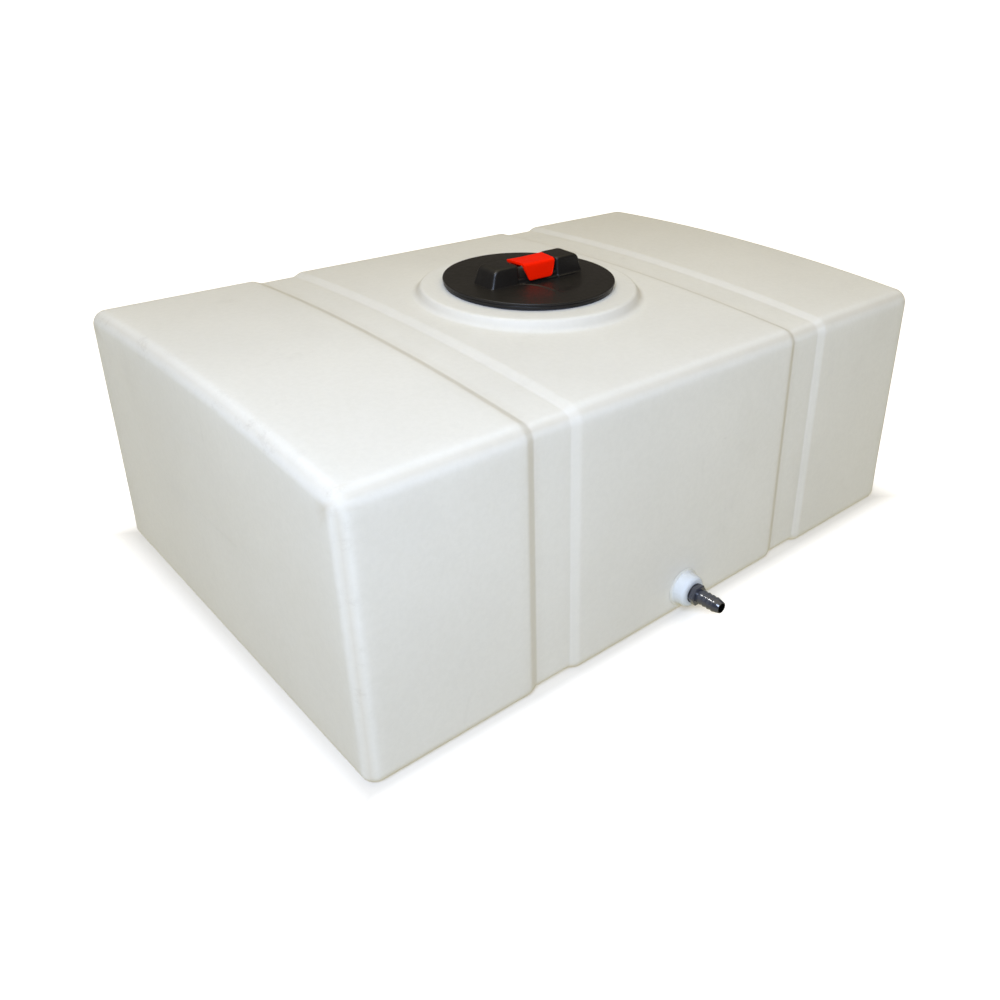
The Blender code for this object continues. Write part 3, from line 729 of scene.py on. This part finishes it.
def make_rings():
    gasket = fillet(
        [
            (0.0887, GASKET_LOW.z),
            (GASKET_HIGH.x, GASKET_LOW.z),
            (GASKET_HIGH.x, GASKET_HIGH.z),
            (0.0887, GASKET_HIGH.z),
        ],
        (0.0004, 0.0004),
        3,
    )
    gasket = turned("collar_gasket_ring", gasket, 144)
    place(gasket, "tank", "black_rubber", "collar_gasket")

    height = SEAL_HIGH.z - SEAL_LOW.z
    inner = SKIRT_OUTER + GAP
    middle = (SEAL_LOW.z + SEAL_HIGH.z) / 2
    outline = [
        (inner, middle - height * 0.30),
        (inner + height * 0.2, SEAL_LOW.z),
        (SEAL_HIGH.x - height * 0.2, SEAL_LOW.z),
        (SEAL_HIGH.x, middle - height * 0.3),
        (SEAL_HIGH.x, middle + height * 0.3),
        (SEAL_HIGH.x - height * 0.2, SEAL_HIGH.z),
        (inner + height * 0.2, SEAL_HIGH.z),
        (inner, middle + height * 0.30),
    ]
    seal = turned("lid_seal_ring", outline, 180)
    place(seal, "seal", "black_rubber", "lid_seal")
    return gasket, seal


def make_screws():
    """Countersunk screws with a hexagon socket."""
    screws = []
    low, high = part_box("collar_screw_1")
    for index, angle in enumerate(screw_angles(), 1):
        depth = high.z - low.z
        profile = [
            (0.0, -depth),
            (SCREW_RADIUS * 0.72, -depth),
            (SCREW_RADIUS, -depth + 0.001),
        ]
        pitch = 0.0010
        turns = int((depth - 0.0056) / pitch)
        for turn in range(turns):
            z = -depth + 0.0012 + turn * pitch
            profile += [(SCREW_RADIUS * 0.84, z), (SCREW_RADIUS, z + pitch / 2)]
        profile += [
            (SCREW_RADIUS, -0.0040),
            (SCREW_RADIUS, -0.0026),
            (SCREW_HEAD_RADIUS, -0.0003),
            (SCREW_HEAD_RADIUS - 0.0002, 0.0),
            (0.0, 0.0),
        ]
        screw = turned(f"collar_screw_{index}_fine", profile, 28, smooth_angle=30)
        socket = [
            [(p.x, p.y, z) for p in arc((0, 0), 0.0017, 0, 360, 6)[:-1]]
            for z in (-0.0018, 0.001)
        ]
        combine(screw, loft("cutter", socket), "DIFFERENCE")
        screw.location = (SCREW_CIRCLE * math.cos(angle), SCREW_CIRCLE * math.sin(angle), high.z)
        place(screw, "tank", "stainless", f"collar_screw_{index}")
        screws.append(screw)
    return screws


# ---------------------------------------------------------------- safety catch

CATCH_HALF = CATCH_HIGH.x
CATCH_BEND_HALF = 0.0250
CATCH_FLAP_HALF = 0.0200
CATCH_THICKNESS = 0.0028
CATCH_BACK = PIN_PLACE.y + 0.0008
CATCH_DROP = 0.0022
CATCH_CORNER = 0.0045


def make_catch():
    """The bent plate that bridges the notch, with the two barrels it turns on."""
    top = CATCH_HIGH.z
    front, back, bottom = CATCH_LOW.y + 0.0030, CATCH_BACK, CATCH_LOW.z - CATCH_DROP
    outer = fillet([(back, top), (front, top), (CATCH_LOW.y, bottom)], (0.0045,), 8)
    outer = subdivided(outer, 0.003)
    inner_line = fillet(
        [
            (back, top - CATCH_THICKNESS),
            (front + CATCH_THICKNESS, top - CATCH_THICKNESS),
            (CATCH_LOW.y + CATCH_THICKNESS * 0.85, bottom),
        ],
        (0.0022,),
        8,
    )
    inner_line = subdivided(inner_line, 0.003)
    outline = outer + inner_line[::-1]
    columns = 28
    layers = []
    for column in range(columns + 1):
        share = -1 + 2 * column / columns
        layer = []
        for y, z in outline:
            drop = max(0.0, (top - 0.004 - z) / (top - 0.004 - bottom))
            forward = max(0.0, min(1.0, (back - y) / (back - front)))
            half = CATCH_HALF + (CATCH_BEND_HALF - CATCH_HALF) * forward + (CATCH_FLAP_HALF - CATCH_BEND_HALF) * drop
            sag = 0.0007 * (1 - share * share) if z > top - 0.0045 else 0.0
            past = max(0.0, abs(share) * half - (half - CATCH_CORNER))
            lift = (CATCH_CORNER - math.sqrt(max(0.0, CATCH_CORNER**2 - past**2))) * smooth(drop)
            layer.append((half * share, y, z - sag + lift))
        layers.append(layer)
    catch = loft("safety_catch_plate", layers, 32)
    rounding = catch.modifiers.new("rounding", "BEVEL")
    rounding.width = 0.0006
    rounding.segments = 2
    rounding.limit_method = "ANGLE"
    rounding.angle_limit = math.radians(40)
    graph = bpy.context.evaluated_depsgraph_get()
    mesh = bpy.data.meshes.new_from_object(catch.evaluated_get(graph))
    catch.modifiers.clear()
    catch.data = mesh
    for side in (-1, 1):
        low, high = sorted((side * 0.0075, side * (CATCH_HALF - 0.0012)))
        barrel = [
            [(x, PIN_PLACE.y + p.x, PIN_PLACE.z + p.y) for p in arc((0, 0), 0.0041, 0, 360, 28)[:-1]]
            for x in (low, high)
        ]
        combine(catch, loft("barrel", barrel), "UNION")
        lug = [
            [(x, PIN_PLACE.y + y, z) for y, z in ((-0.0040, PIN_PLACE.z), (0.0004, PIN_PLACE.z), (0.0004, top - 0.0018), (-0.0040, top - 0.0018))]
            for x in (low, high)
        ]
        combine(catch, loft("lug", lug), "UNION")
    bore = cross_cylinder("bore", PIN_RADIUS + GAP, CATCH_HALF + 0.01, PIN_PLACE.y, PIN_PLACE.z)
    combine(catch, bore, "DIFFERENCE")
    place(catch, "catch", "red_plastic", "safety_catch")
    return catch


SPRING_RADIUS = 0.0034
SPRING_WIRE = 0.0005
SPRING_TURNS = 5.25
SPRING_HALF = 0.0050
SPRING_LEG = 0.0075
SPRING_STEPS = 24


def wire_tube(name, line, radius, sides=8):
    """A round wire along a polyline, its section carried along without twisting."""
    normal = Vector((0.0, 0.0, 1.0))
    layers = []
    for index, spot in enumerate(line):
        before, after = line[max(0, index - 1)], line[min(len(line) - 1, index + 1)]
        along = (after - before).normalized()
        normal = (normal - along * normal.dot(along)).normalized()
        across = along.cross(normal)
        turns = [math.tau * step / sides for step in range(sides)]
        layers.append([spot + (normal * math.cos(a) + across * math.sin(a)) * radius for a in turns])
    return loft(name, layers, 60)


def make_pin_and_spring():
    pin_profile = [
        (0.0, PIN_LOW.x),
        (PIN_RADIUS - 0.0004, PIN_LOW.x),
        (PIN_RADIUS, PIN_LOW.x + 0.0004),
        (PIN_RADIUS, PIN_HIGH.x - 0.0004),
        (PIN_RADIUS - 0.0004, PIN_HIGH.x),
        (0.0, PIN_HIGH.x),
    ]
    pin = turned("catch_cross_pin", pin_profile, 32)
    pin.data.transform(Matrix.Rotation(math.radians(90), 4, "Y"))
    pin.data.transform(Matrix.Translation((0.0, PIN_PLACE.y, PIN_PLACE.z)))
    place(pin, "lid", "stainless", "catch_pin")

    steps = round(SPRING_TURNS * SPRING_STEPS)
    line = [Vector((-SPRING_HALF, -SPRING_LEG, SPRING_RADIUS))]
    for step in range(steps + 1):
        angle = math.tau * step / SPRING_STEPS
        x = -SPRING_HALF + 2 * SPRING_HALF * step / steps
        line.append(Vector((x, SPRING_RADIUS * math.sin(angle), SPRING_RADIUS * math.cos(angle))))
    line.append(Vector((SPRING_HALF, SPRING_RADIUS, WEB_TOP + GAP - PIN_PLACE.z)))
    spring = wire_tube("catch_coil_spring", line, SPRING_WIRE)
    spring.location = PIN_PLACE
    place(spring, "lid", "stainless", "catch_spring")
    return pin, spring


# ---------------------------------------------------------------- outlet

def outlet_matrix():
    """Local +Z runs out along the outlet's axis from the tank's face."""
    face_y = -side_point(0.0, OUTLET_HEIGHT)
    turn = Matrix.Rotation(math.radians(90) - LEAN, 4, "X")
    return Matrix.Translation((0.0, face_y, OUTLET_HEIGHT)) @ turn


SOCKET_LENGTH = 0.018
SOCKET_RADIUS = 0.0200
SOCKET_FLANGE_RADIUS = 0.0255
SOCKET_SPIGOT_RADIUS = 0.0140
SOCKET_BORE = 0.0110
WASHER_RADIUS = 0.0128
HEX_LOW = 0.0198
HEX_HIGH = 0.0273
HEX_FLATS = 0.0240
HEX_CORNER_RADIUS = 0.0022
TAIL_THREAD_RADIUS = 0.0105
TAIL_BORE = 0.0060
TAIL_ROOT = 0.0082
TAIL_BARB = 0.0095
TAIL_TIP = 0.0072
TAIL_BARBS = 4
TAIL_PITCH = 0.0065
TAIL_SHOULDER = 0.0032
TAIL_END = 0.061


def make_outlet():
    outline = [
        (SOCKET_BORE, -0.0075),
        (SOCKET_SPIGOT_RADIUS, -0.0075),
        (SOCKET_SPIGOT_RADIUS, 0.0003),
        (SOCKET_FLANGE_RADIUS, 0.0003),
        (SOCKET_FLANGE_RADIUS - 0.0016, 0.0010),
        (SOCKET_RADIUS + 0.0010, 0.0022),
        (SOCKET_RADIUS, SOCKET_LENGTH),
        (SOCKET_BORE + 0.0006, SOCKET_LENGTH),
        (SOCKET_BORE, SOCKET_LENGTH - 0.0006),
    ]
    profile = fillet(outline, (0.0004, 0.0001, 0.0002, 0.0008, 0.0022, 0.0055, 0.0), 6)

    def bead(angle, radius, z):
        wobble = noise.noise(Vector((math.cos(angle) * 3.0, math.sin(angle) * 3.0, 1.7)))
        return 0.0006 * wobble if radius > SOCKET_FLANGE_RADIUS - 0.001 else 0.0

    socket = turned("outlet_boss", profile, 96, bead, 35)
    socket.matrix_world = outlet_matrix()
    place(socket, "tank", "socket_plastic", "outlet_socket")

    low, high = SOCKET_LENGTH + GAP, HEX_LOW - GAP
    inner = TAIL_THREAD_RADIUS + GAP
    outline = [(inner, low), (WASHER_RADIUS, low), (WASHER_RADIUS, high), (inner, high)]
    washer = turned("outlet_sealing_washer", fillet(outline, (0.0004, 0.0004), 3), 72)
    washer.matrix_world = outlet_matrix()
    place(washer, "tank", "black_rubber", "outlet_washer")

    barbs = []
    for index in range(TAIL_BARBS):
        start = HEX_HIGH + TAIL_SHOULDER + index * TAIL_PITCH
        barbs += [(TAIL_ROOT, start), (TAIL_BARB - 0.0002, start + 0.0005), (TAIL_BARB, start + 0.0010)]
        barbs += [(TAIL_BARB - 0.0001, start + 0.0018)]
    outline = [
        (TAIL_BORE, HEX_LOW - 0.015),
        (TAIL_THREAD_RADIUS - 0.0007, HEX_LOW - 0.015),
        (TAIL_THREAD_RADIUS, HEX_LOW - 0.0143),
        (TAIL_THREAD_RADIUS, HEX_LOW + 0.004),
        (TAIL_ROOT, HEX_LOW + 0.004),
        *barbs,
        (TAIL_TIP, TAIL_END - 0.0003),
        (TAIL_TIP - 0.0003, TAIL_END),
        (TAIL_BORE + 0.0003, TAIL_END),
        (TAIL_BORE, TAIL_END - 0.0003),
    ]
    tail = turned("barbed_hose_tail", outline, 72, smooth_angle=30)
    corner = HEX_FLATS / math.sqrt(3)
    hexagon = []
    for grow, z in ((-0.0012, HEX_LOW), (0.0, HEX_LOW + 0.0007), (0.0, HEX_HIGH - 0.0007), (-0.0012, HEX_HIGH)):
        loop = []
        for step in range(6):
            angle = math.tau * step / 6
            middle = Vector((math.cos(angle), math.sin(angle))) * (corner + grow - HEX_CORNER_RADIUS / math.cos(math.radians(30)))
            loop += [(middle.x + p.x, middle.y + p.y, z) for p in arc((0, 0), HEX_CORNER_RADIUS, 60 * step - 30, 60 * step + 30, 4)]
        hexagon.append(loop)
    nut = loft("hexagon", hexagon, 30)
    hole = loft("hole", [[(p.x, p.y, z) for p in arc((0, 0), TAIL_BORE + 0.001, 0, 360, 48)[:-1]] for z in (HEX_LOW - 0.01, HEX_HIGH + 0.01)])
    combine(nut, hole, "DIFFERENCE")
    combine(tail, nut, "UNION")
    tail.matrix_world = outlet_matrix()
    place(tail, "tank", "grey_pvc", "hose_tail")
    return socket, washer, tail


# ---------------------------------------------------------------- materials

class Nodes:
    """A short way to write a material's node tree."""

    def __init__(self, name):
        self.material = bpy.data.materials.new(name)
        self.material.use_nodes = True
        self.tree = self.material.node_tree
        self.shader = self.tree.nodes["Principled BSDF"]
        self.coordinates = self.tree.nodes.new("ShaderNodeTexCoord")

    def add(self, kind, inputs=(), **settings):
        node = self.tree.nodes.new(kind)
        for key, value in settings.items():
            setattr(node, key, value)
        for key, value in dict(inputs).items():
            if isinstance(value, bpy.types.NodeSocket):
                self.tree.links.new(value, node.inputs[key])
            else:
                node.inputs[key].default_value = value
        return node

    def link(self, output, key):
        self.tree.links.new(output, self.shader.inputs[key])

    def noise(self, scale, detail=4.0, roughness=0.5, stretch=None):
        place = self.coordinates.outputs["Object"]
        if stretch:
            place = self.add("ShaderNodeMapping", {"Vector": place, "Scale": stretch}).outputs[0]
        node = self.add("ShaderNodeTexNoise", {"Vector": place, "Scale": scale, "Detail": detail, "Roughness": roughness})
        return node.outputs["Fac"]

    def spread(self, value, low, high, to_low=0.0, to_high=1.0):
        node = self.add("ShaderNodeMapRange", {"Value": value, "From Min": low, "From Max": high, "To Min": to_low, "To Max": to_high})
        return node.outputs[0]

    def math(self, operation, first, second):
        return self.add("ShaderNodeMath", {0: first, 1: second}, operation=operation).outputs[0]

    def mix(self, share, first, second):
        node = self.tree.nodes.new("ShaderNodeMix")
        node.data_type = "RGBA"
        for key, value in ((0, share), (6, first), (7, second)):
            if isinstance(value, bpy.types.NodeSocket):
                self.tree.links.new(value, node.inputs[key])
            elif key == 0:
                node.inputs[key].default_value = value
            else:
                node.inputs[key].default_value = (*value, 1.0)
        return node.outputs[2]

    def bump(self, *layers):
        """Each layer is (height, strength, distance). Later layers lie on earlier ones."""
        normal = None
        for height, strength, distance in layers:
            inputs = {"Height": height, "Strength": strength, "Distance": distance}
            if normal:
                inputs["Normal"] = normal
            normal = self.add("ShaderNodeBump", inputs).outputs[0]
        self.link(normal, "Normal")


def set_constants(shader, **values):
    for key, value in values.items():
        shader.inputs[key.replace("_", " ")].default_value = value


def polyethylene(name, body, worn=True):
    n = Nodes(name)
    shade = tuple(0.94 * c for c in body)
    cloud = n.spread(n.noise(3.2, 3.0), 0.35, 0.68)
    colour = n.mix(cloud, shade, body)
    if worn:
        # Painted shade: the edges, strap ramps and pad wall that catch the key light are tinted darker and yellower
        # than the faces.
        painted_shade = n.add("ShaderNodeAttribute", attribute_name="edge_painted_shade").outputs["Fac"]
        colour = n.mix(painted_shade, colour, EDGE_SHADE_COLOUR)
        smudge = n.spread(n.noise(4.5, 7.0, 0.62), 0.60, 0.82)
        streak = n.spread(n.noise(16.0, 6.0, 0.7, (1.0, 1.0, 0.25)), 0.62, 0.78)
        marks = n.math("MULTIPLY", n.math("MAXIMUM", smudge, streak), 0.24)
        colour = n.mix(marks, colour, (0.52, 0.50, 0.45))
        scratch = n.spread(n.noise(38.0, 8.0, 0.72, (0.35, 1.0, 0.8)), 0.66, 0.78)
        patch = n.spread(n.noise(4.1, 3.0), 0.52, 0.66)
        scuff = n.math("MULTIPLY", n.math("MULTIPLY", scratch, patch), 0.34)
        colour = n.mix(scuff, colour, (0.42, 0.39, 0.34))
        wear = n.add("ShaderNodeAttribute", attribute_name="edge_wear").outputs["Fac"]
        rubs = n.spread(n.noise(22.0, 9.0, 0.78, (1.0, 1.0, 1.6)), 0.54, 0.72)
        colour = n.mix(n.math("MULTIPLY", n.math("MULTIPLY", rubs, wear), 0.55), colour, (0.40, 0.36, 0.30))
        mottle = n.spread(n.noise(150.0, 4.0, 0.7), 0.40, 0.60, 0.0, 0.08)
        colour = n.mix(mottle, colour, (0.55, 0.54, 0.48))
    else:
        place = n.add("ShaderNodeSeparateXYZ", {0: n.coordinates.outputs["Object"]}).outputs
        square = n.math("ADD", n.math("MULTIPLY", place[0], place[0]), n.math("MULTIPLY", place[1], place[1]))
        weld = n.spread(square, SOCKET_RADIUS**2, (SOCKET_RADIUS + 0.003) ** 2)
        colour = n.mix(weld, colour, (0.79, 0.785, 0.71))
    n.link(colour, "Base Color")
    rough = n.spread(n.noise(30.0, 5.0), 0.3, 0.7, 0.50, 0.62)
    n.link(rough, "Roughness")
    n.bump((n.noise(9.0, 3.0), 0.25, 0.0012), (n.noise(420.0, 3.0), 0.12, 0.0002))
    set_constants(n.shader, IOR=1.5, Specular_IOR_Level=0.20, Subsurface_Weight=0.35, Subsurface_Radius=(1.0, 1.0, 1.0), Subsurface_Scale=0.010)
    return n.material


# The darker, yellower tint of the painted shade on the tank's light-catching edges.
EDGE_SHADE_COLOUR = (0.67, 0.635, 0.55)


def moulded(name, colour, roughness, worn, gloss=0.5, bore=None):
    """Pigmented plastic or rubber: fine grain, faint flow marks, handling wear, and painted shade down the bore when
    one is given.
    """
    n = Nodes(name)
    light = tuple(min(1.0, c * 1.25 + worn * 0.03) for c in colour)
    tone = n.mix(n.spread(n.noise(26.0, 5.0), 0.35, 0.7), colour, light)
    dust = n.spread(n.noise(60.0, 8.0, 0.7), 0.60, 0.80)
    tone = n.mix(n.math("MULTIPLY", dust, worn), tone, (0.32, 0.31, 0.29))
    # Painted shade: inside the bore's radius the colour turns near-black, standing in for the shade down the hole.
    if bore:
        place = n.add("ShaderNodeSeparateXYZ", {0: n.coordinates.outputs["Object"]}).outputs
        square = n.math("ADD", n.math("MULTIPLY", place[0], place[0]), n.math("MULTIPLY", place[1], place[1]))
        tone = n.mix(n.spread(square, bore**2, (bore * 1.08) ** 2), (0.002, 0.002, 0.002), tone)
    n.link(tone, "Base Color")
    n.link(n.spread(n.noise(140.0, 6.0), 0.3, 0.7, roughness - 0.05, roughness + 0.05), "Roughness")
    n.bump((n.noise(900.0, 2.0), 0.25, 0.00012), (n.noise(35.0, 3.0), 0.15, 0.0004))
    set_constants(n.shader, IOR=1.49, Specular_IOR_Level=gloss)
    return n.material


def steel(name):
    n = Nodes(name)
    brushed = n.noise(900.0, 3.0, 0.5, (1.0, 1.0, 0.05))
    n.link(n.mix(brushed, (0.52, 0.52, 0.51), (0.68, 0.68, 0.67)), "Base Color")
    n.link(n.spread(brushed, 0.3, 0.7, 0.22, 0.38), "Roughness")
    n.bump((brushed, 0.1, 0.00005))
    set_constants(n.shader, Metallic=1.0)
    return n.material


def dress(piece, material):
    if piece.material_slots:
        piece.material_slots[0].material = material
    else:
        piece.data.materials.append(material)


# ---------------------------------------------------------------- scene, light and camera

def soft_light(name, place, aim, size, power, colour=(1.0, 1.0, 1.0)):
    data = bpy.data.lights.new(name, "AREA")
    data.shape = "RECTANGLE"
    data.size, data.size_y = size
    data.energy = power
    data.color = colour
    lamp = bpy.data.objects.new(name, data)
    bpy.context.scene.collection.objects.link(lamp)
    lamp.location = place
    lamp.rotation_mode = "QUATERNION"
    lamp.rotation_quaternion = (Vector(aim) - Vector(place)).to_track_quat("-Z", "Y")
    return lamp


def unseen_by_light(piece):
    """Shown to the camera alone, so that it doesn't tint or shade the object."""
    piece.visible_diffuse = False
    piece.visible_glossy = False
    piece.visible_transmission = False
    piece.visible_shadow = False


def make_sky():
    """Soft light from above and a little from below, with a dark band between them."""
    world = bpy.data.worlds.new("studio")
    bpy.context.scene.world = world
    world.use_nodes = True
    tree = world.node_tree
    direction = tree.nodes.new("ShaderNodeTexCoord").outputs["Generated"]
    height = tree.nodes.new("ShaderNodeSeparateXYZ")
    tree.links.new(direction, height.inputs[0])
    ramp = tree.nodes.new("ShaderNodeValToRGB")
    half = tree.nodes.new("ShaderNodeMapRange")
    half.inputs["From Min"].default_value = -1.0
    tree.links.new(height.outputs[2], half.inputs["Value"])
    tree.links.new(half.outputs[0], ramp.inputs["Fac"])
    stops = ramp.color_ramp.elements
    for element, (place, colour) in zip((stops[0], stops[1]), ((0.0, SKY_BELOW), (1.0, SKY_ABOVE))):
        element.position = place
        element.color = (*colour, 1.0)
    for place, colour in ((0.40, SKY_BELOW), (0.47, SKY_BAND), (0.84, SKY_BAND), (0.90, SKY_ABOVE)):
        stops.new(place).color = (*colour, 1.0)
    tree.links.new(ramp.outputs["Color"], tree.nodes["Background"].inputs["Color"])


SKY_ABOVE = (1.17, 1.03, 0.68)
SKY_BAND = (0.15, 0.135, 0.115)
SKY_BELOW = (0.73, 0.68, 0.49)


def make_studio():
    bpy.context.scene.view_settings.view_transform = "Standard"
    make_sky()
    soft_light("key", (-1.36, -1.30, 1.56), (0.0, 0.0, 0.2), (0.8, 0.8), 53.0, (0.61, 0.73, 1.0))
    soft_light("fill", (1.9, 2.0, 0.0), (0.0, 0.0, 0.15), (1.6, 0.5), 14.0, (0.70, 0.80, 1.0)).visible_glossy = False
    soft_light("sparkle", (-1.0, 0.05, 1.95), (0.0, -0.34, 0.05), (0.3, 0.3), 16.0).visible_diffuse = False

    bm = bmesh.new()
    bmesh.ops.create_grid(bm, x_segments=1, y_segments=1, size=60.0)
    floor = new_object("floor", bm)
    floor.location.z = -0.0002
    n = Nodes("floor_paper")
    tone = n.mix(n.noise(1.5, 2.0), (0.90, 0.89, 0.88), (0.91, 0.90, 0.89))
    n.link(n.mix(n.noise(1.5, 2.0), (0.66, 0.64, 0.60), (0.68, 0.66, 0.62)), "Base Color")
    n.link(tone, "Emission Color")
    # Painted contact shadow: the floor's glow falls from 1.02 to 0.18 within 75 mm of the tank's ends and 50 mm of
    # its sides.
    place = n.add("ShaderNodeSeparateXYZ", {0: n.coordinates.outputs["Object"]}).outputs
    painted_shadow_beside = n.spread(n.math("ABSOLUTE", place[0], 0.0), HALF_LENGTH, HALF_LENGTH + 0.075)
    before = n.spread(n.math("ABSOLUTE", place[1], 0.0), 0.302, 0.302 + 0.05)
    n.link(n.spread(n.math("MAXIMUM", painted_shadow_beside, before), 0.0, 1.0, 0.18, 1.02), "Emission Strength")
    set_constants(n.shader, Roughness=0.9, Specular_IOR_Level=0.0)
    dress(floor, n.material)
    unseen_by_light(floor)

    bm = bmesh.new()
    bmesh.ops.create_uvsphere(bm, u_segments=48, v_segments=24, radius=50.0)
    backdrop = new_object("backdrop", bm)
    n = Nodes("backdrop_paper")
    tone = n.mix(n.noise(1.5, 2.0), (0.99, 0.99, 0.99), (1.0, 1.0, 1.0))
    n.link(tone, "Emission Color")
    set_constants(n.shader, Base_Color=(0.0, 0.0, 0.0, 1.0), Specular_IOR_Level=0.0, Emission_Strength=1.05)
    dress(backdrop, n.material)
    unseen_by_light(backdrop)


def make_camera():
    place = Vector((-0.7499, -0.8787, 0.7075))
    azimuth, elevation, roll = (math.radians(a) for a in (43.193, -29.313, 2.079))
    look = Vector((
        math.sin(azimuth) * math.cos(elevation),
        math.cos(azimuth) * math.cos(elevation),
        math.sin(elevation),
    ))
    data = bpy.data.cameras.new("camera")
    data.sensor_width = 36.0
    data.lens = 33.3
    data.shift_x = -0.0646
    data.shift_y = -0.0205
    camera = bpy.data.objects.new("camera", data)
    bpy.context.scene.collection.objects.link(camera)
    camera.rotation_mode = "QUATERNION"
    camera.location = place
    camera.rotation_quaternion = look.to_track_quat("-Z", "Y") @ Matrix.Rotation(roll, 4, "Z").to_quaternion()
    bpy.context.scene.camera = camera


def main():
    natural = polyethylene("natural_polyethylene", (0.80, 0.785, 0.72))
    weld_white = polyethylene("socket_polyethylene", (0.66, 0.70, 0.73), worn=False)
    black = moulded("black_polypropylene", (0.0085, 0.0072, 0.0060), 0.42, 0.02, gloss=0.34)
    red = moulded("red_polypropylene", (0.95, 0.012, 0.0), 0.42, 0.0, gloss=0.06)
    rubber = moulded("epdm_rubber", (0.025, 0.025, 0.027), 0.72, 0.10)
    silicone = moulded("milky_silicone", (0.72, 0.72, 0.69), 0.50, 0.02)
    pvc = moulded("grey_pvc", (0.032, 0.035, 0.048), 0.16, 0.02, gloss=0.8, bore=TAIL_BORE)
    stainless = steel("stainless_steel")

    dress(make_tank(), natural)
    dress(make_lid(), black)
    dress(make_collar(), black)
    gasket, seal = make_rings()
    dress(gasket, rubber)
    dress(seal, rubber)
    for screw in make_screws():
        dress(screw, stainless)
    dress(make_catch(), red)
    pin, spring = make_pin_and_spring()
    dress(pin, stainless)
    dress(spring, stainless)
    socket, washer, tail = make_outlet()
    dress(socket, weld_white)
    dress(washer, rubber)
    dress(tail, pvc)
    dress(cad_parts["backing_ring"], black)
    dress(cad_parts["vent_valve"], silicone)
    make_studio()
    make_camera()


main()
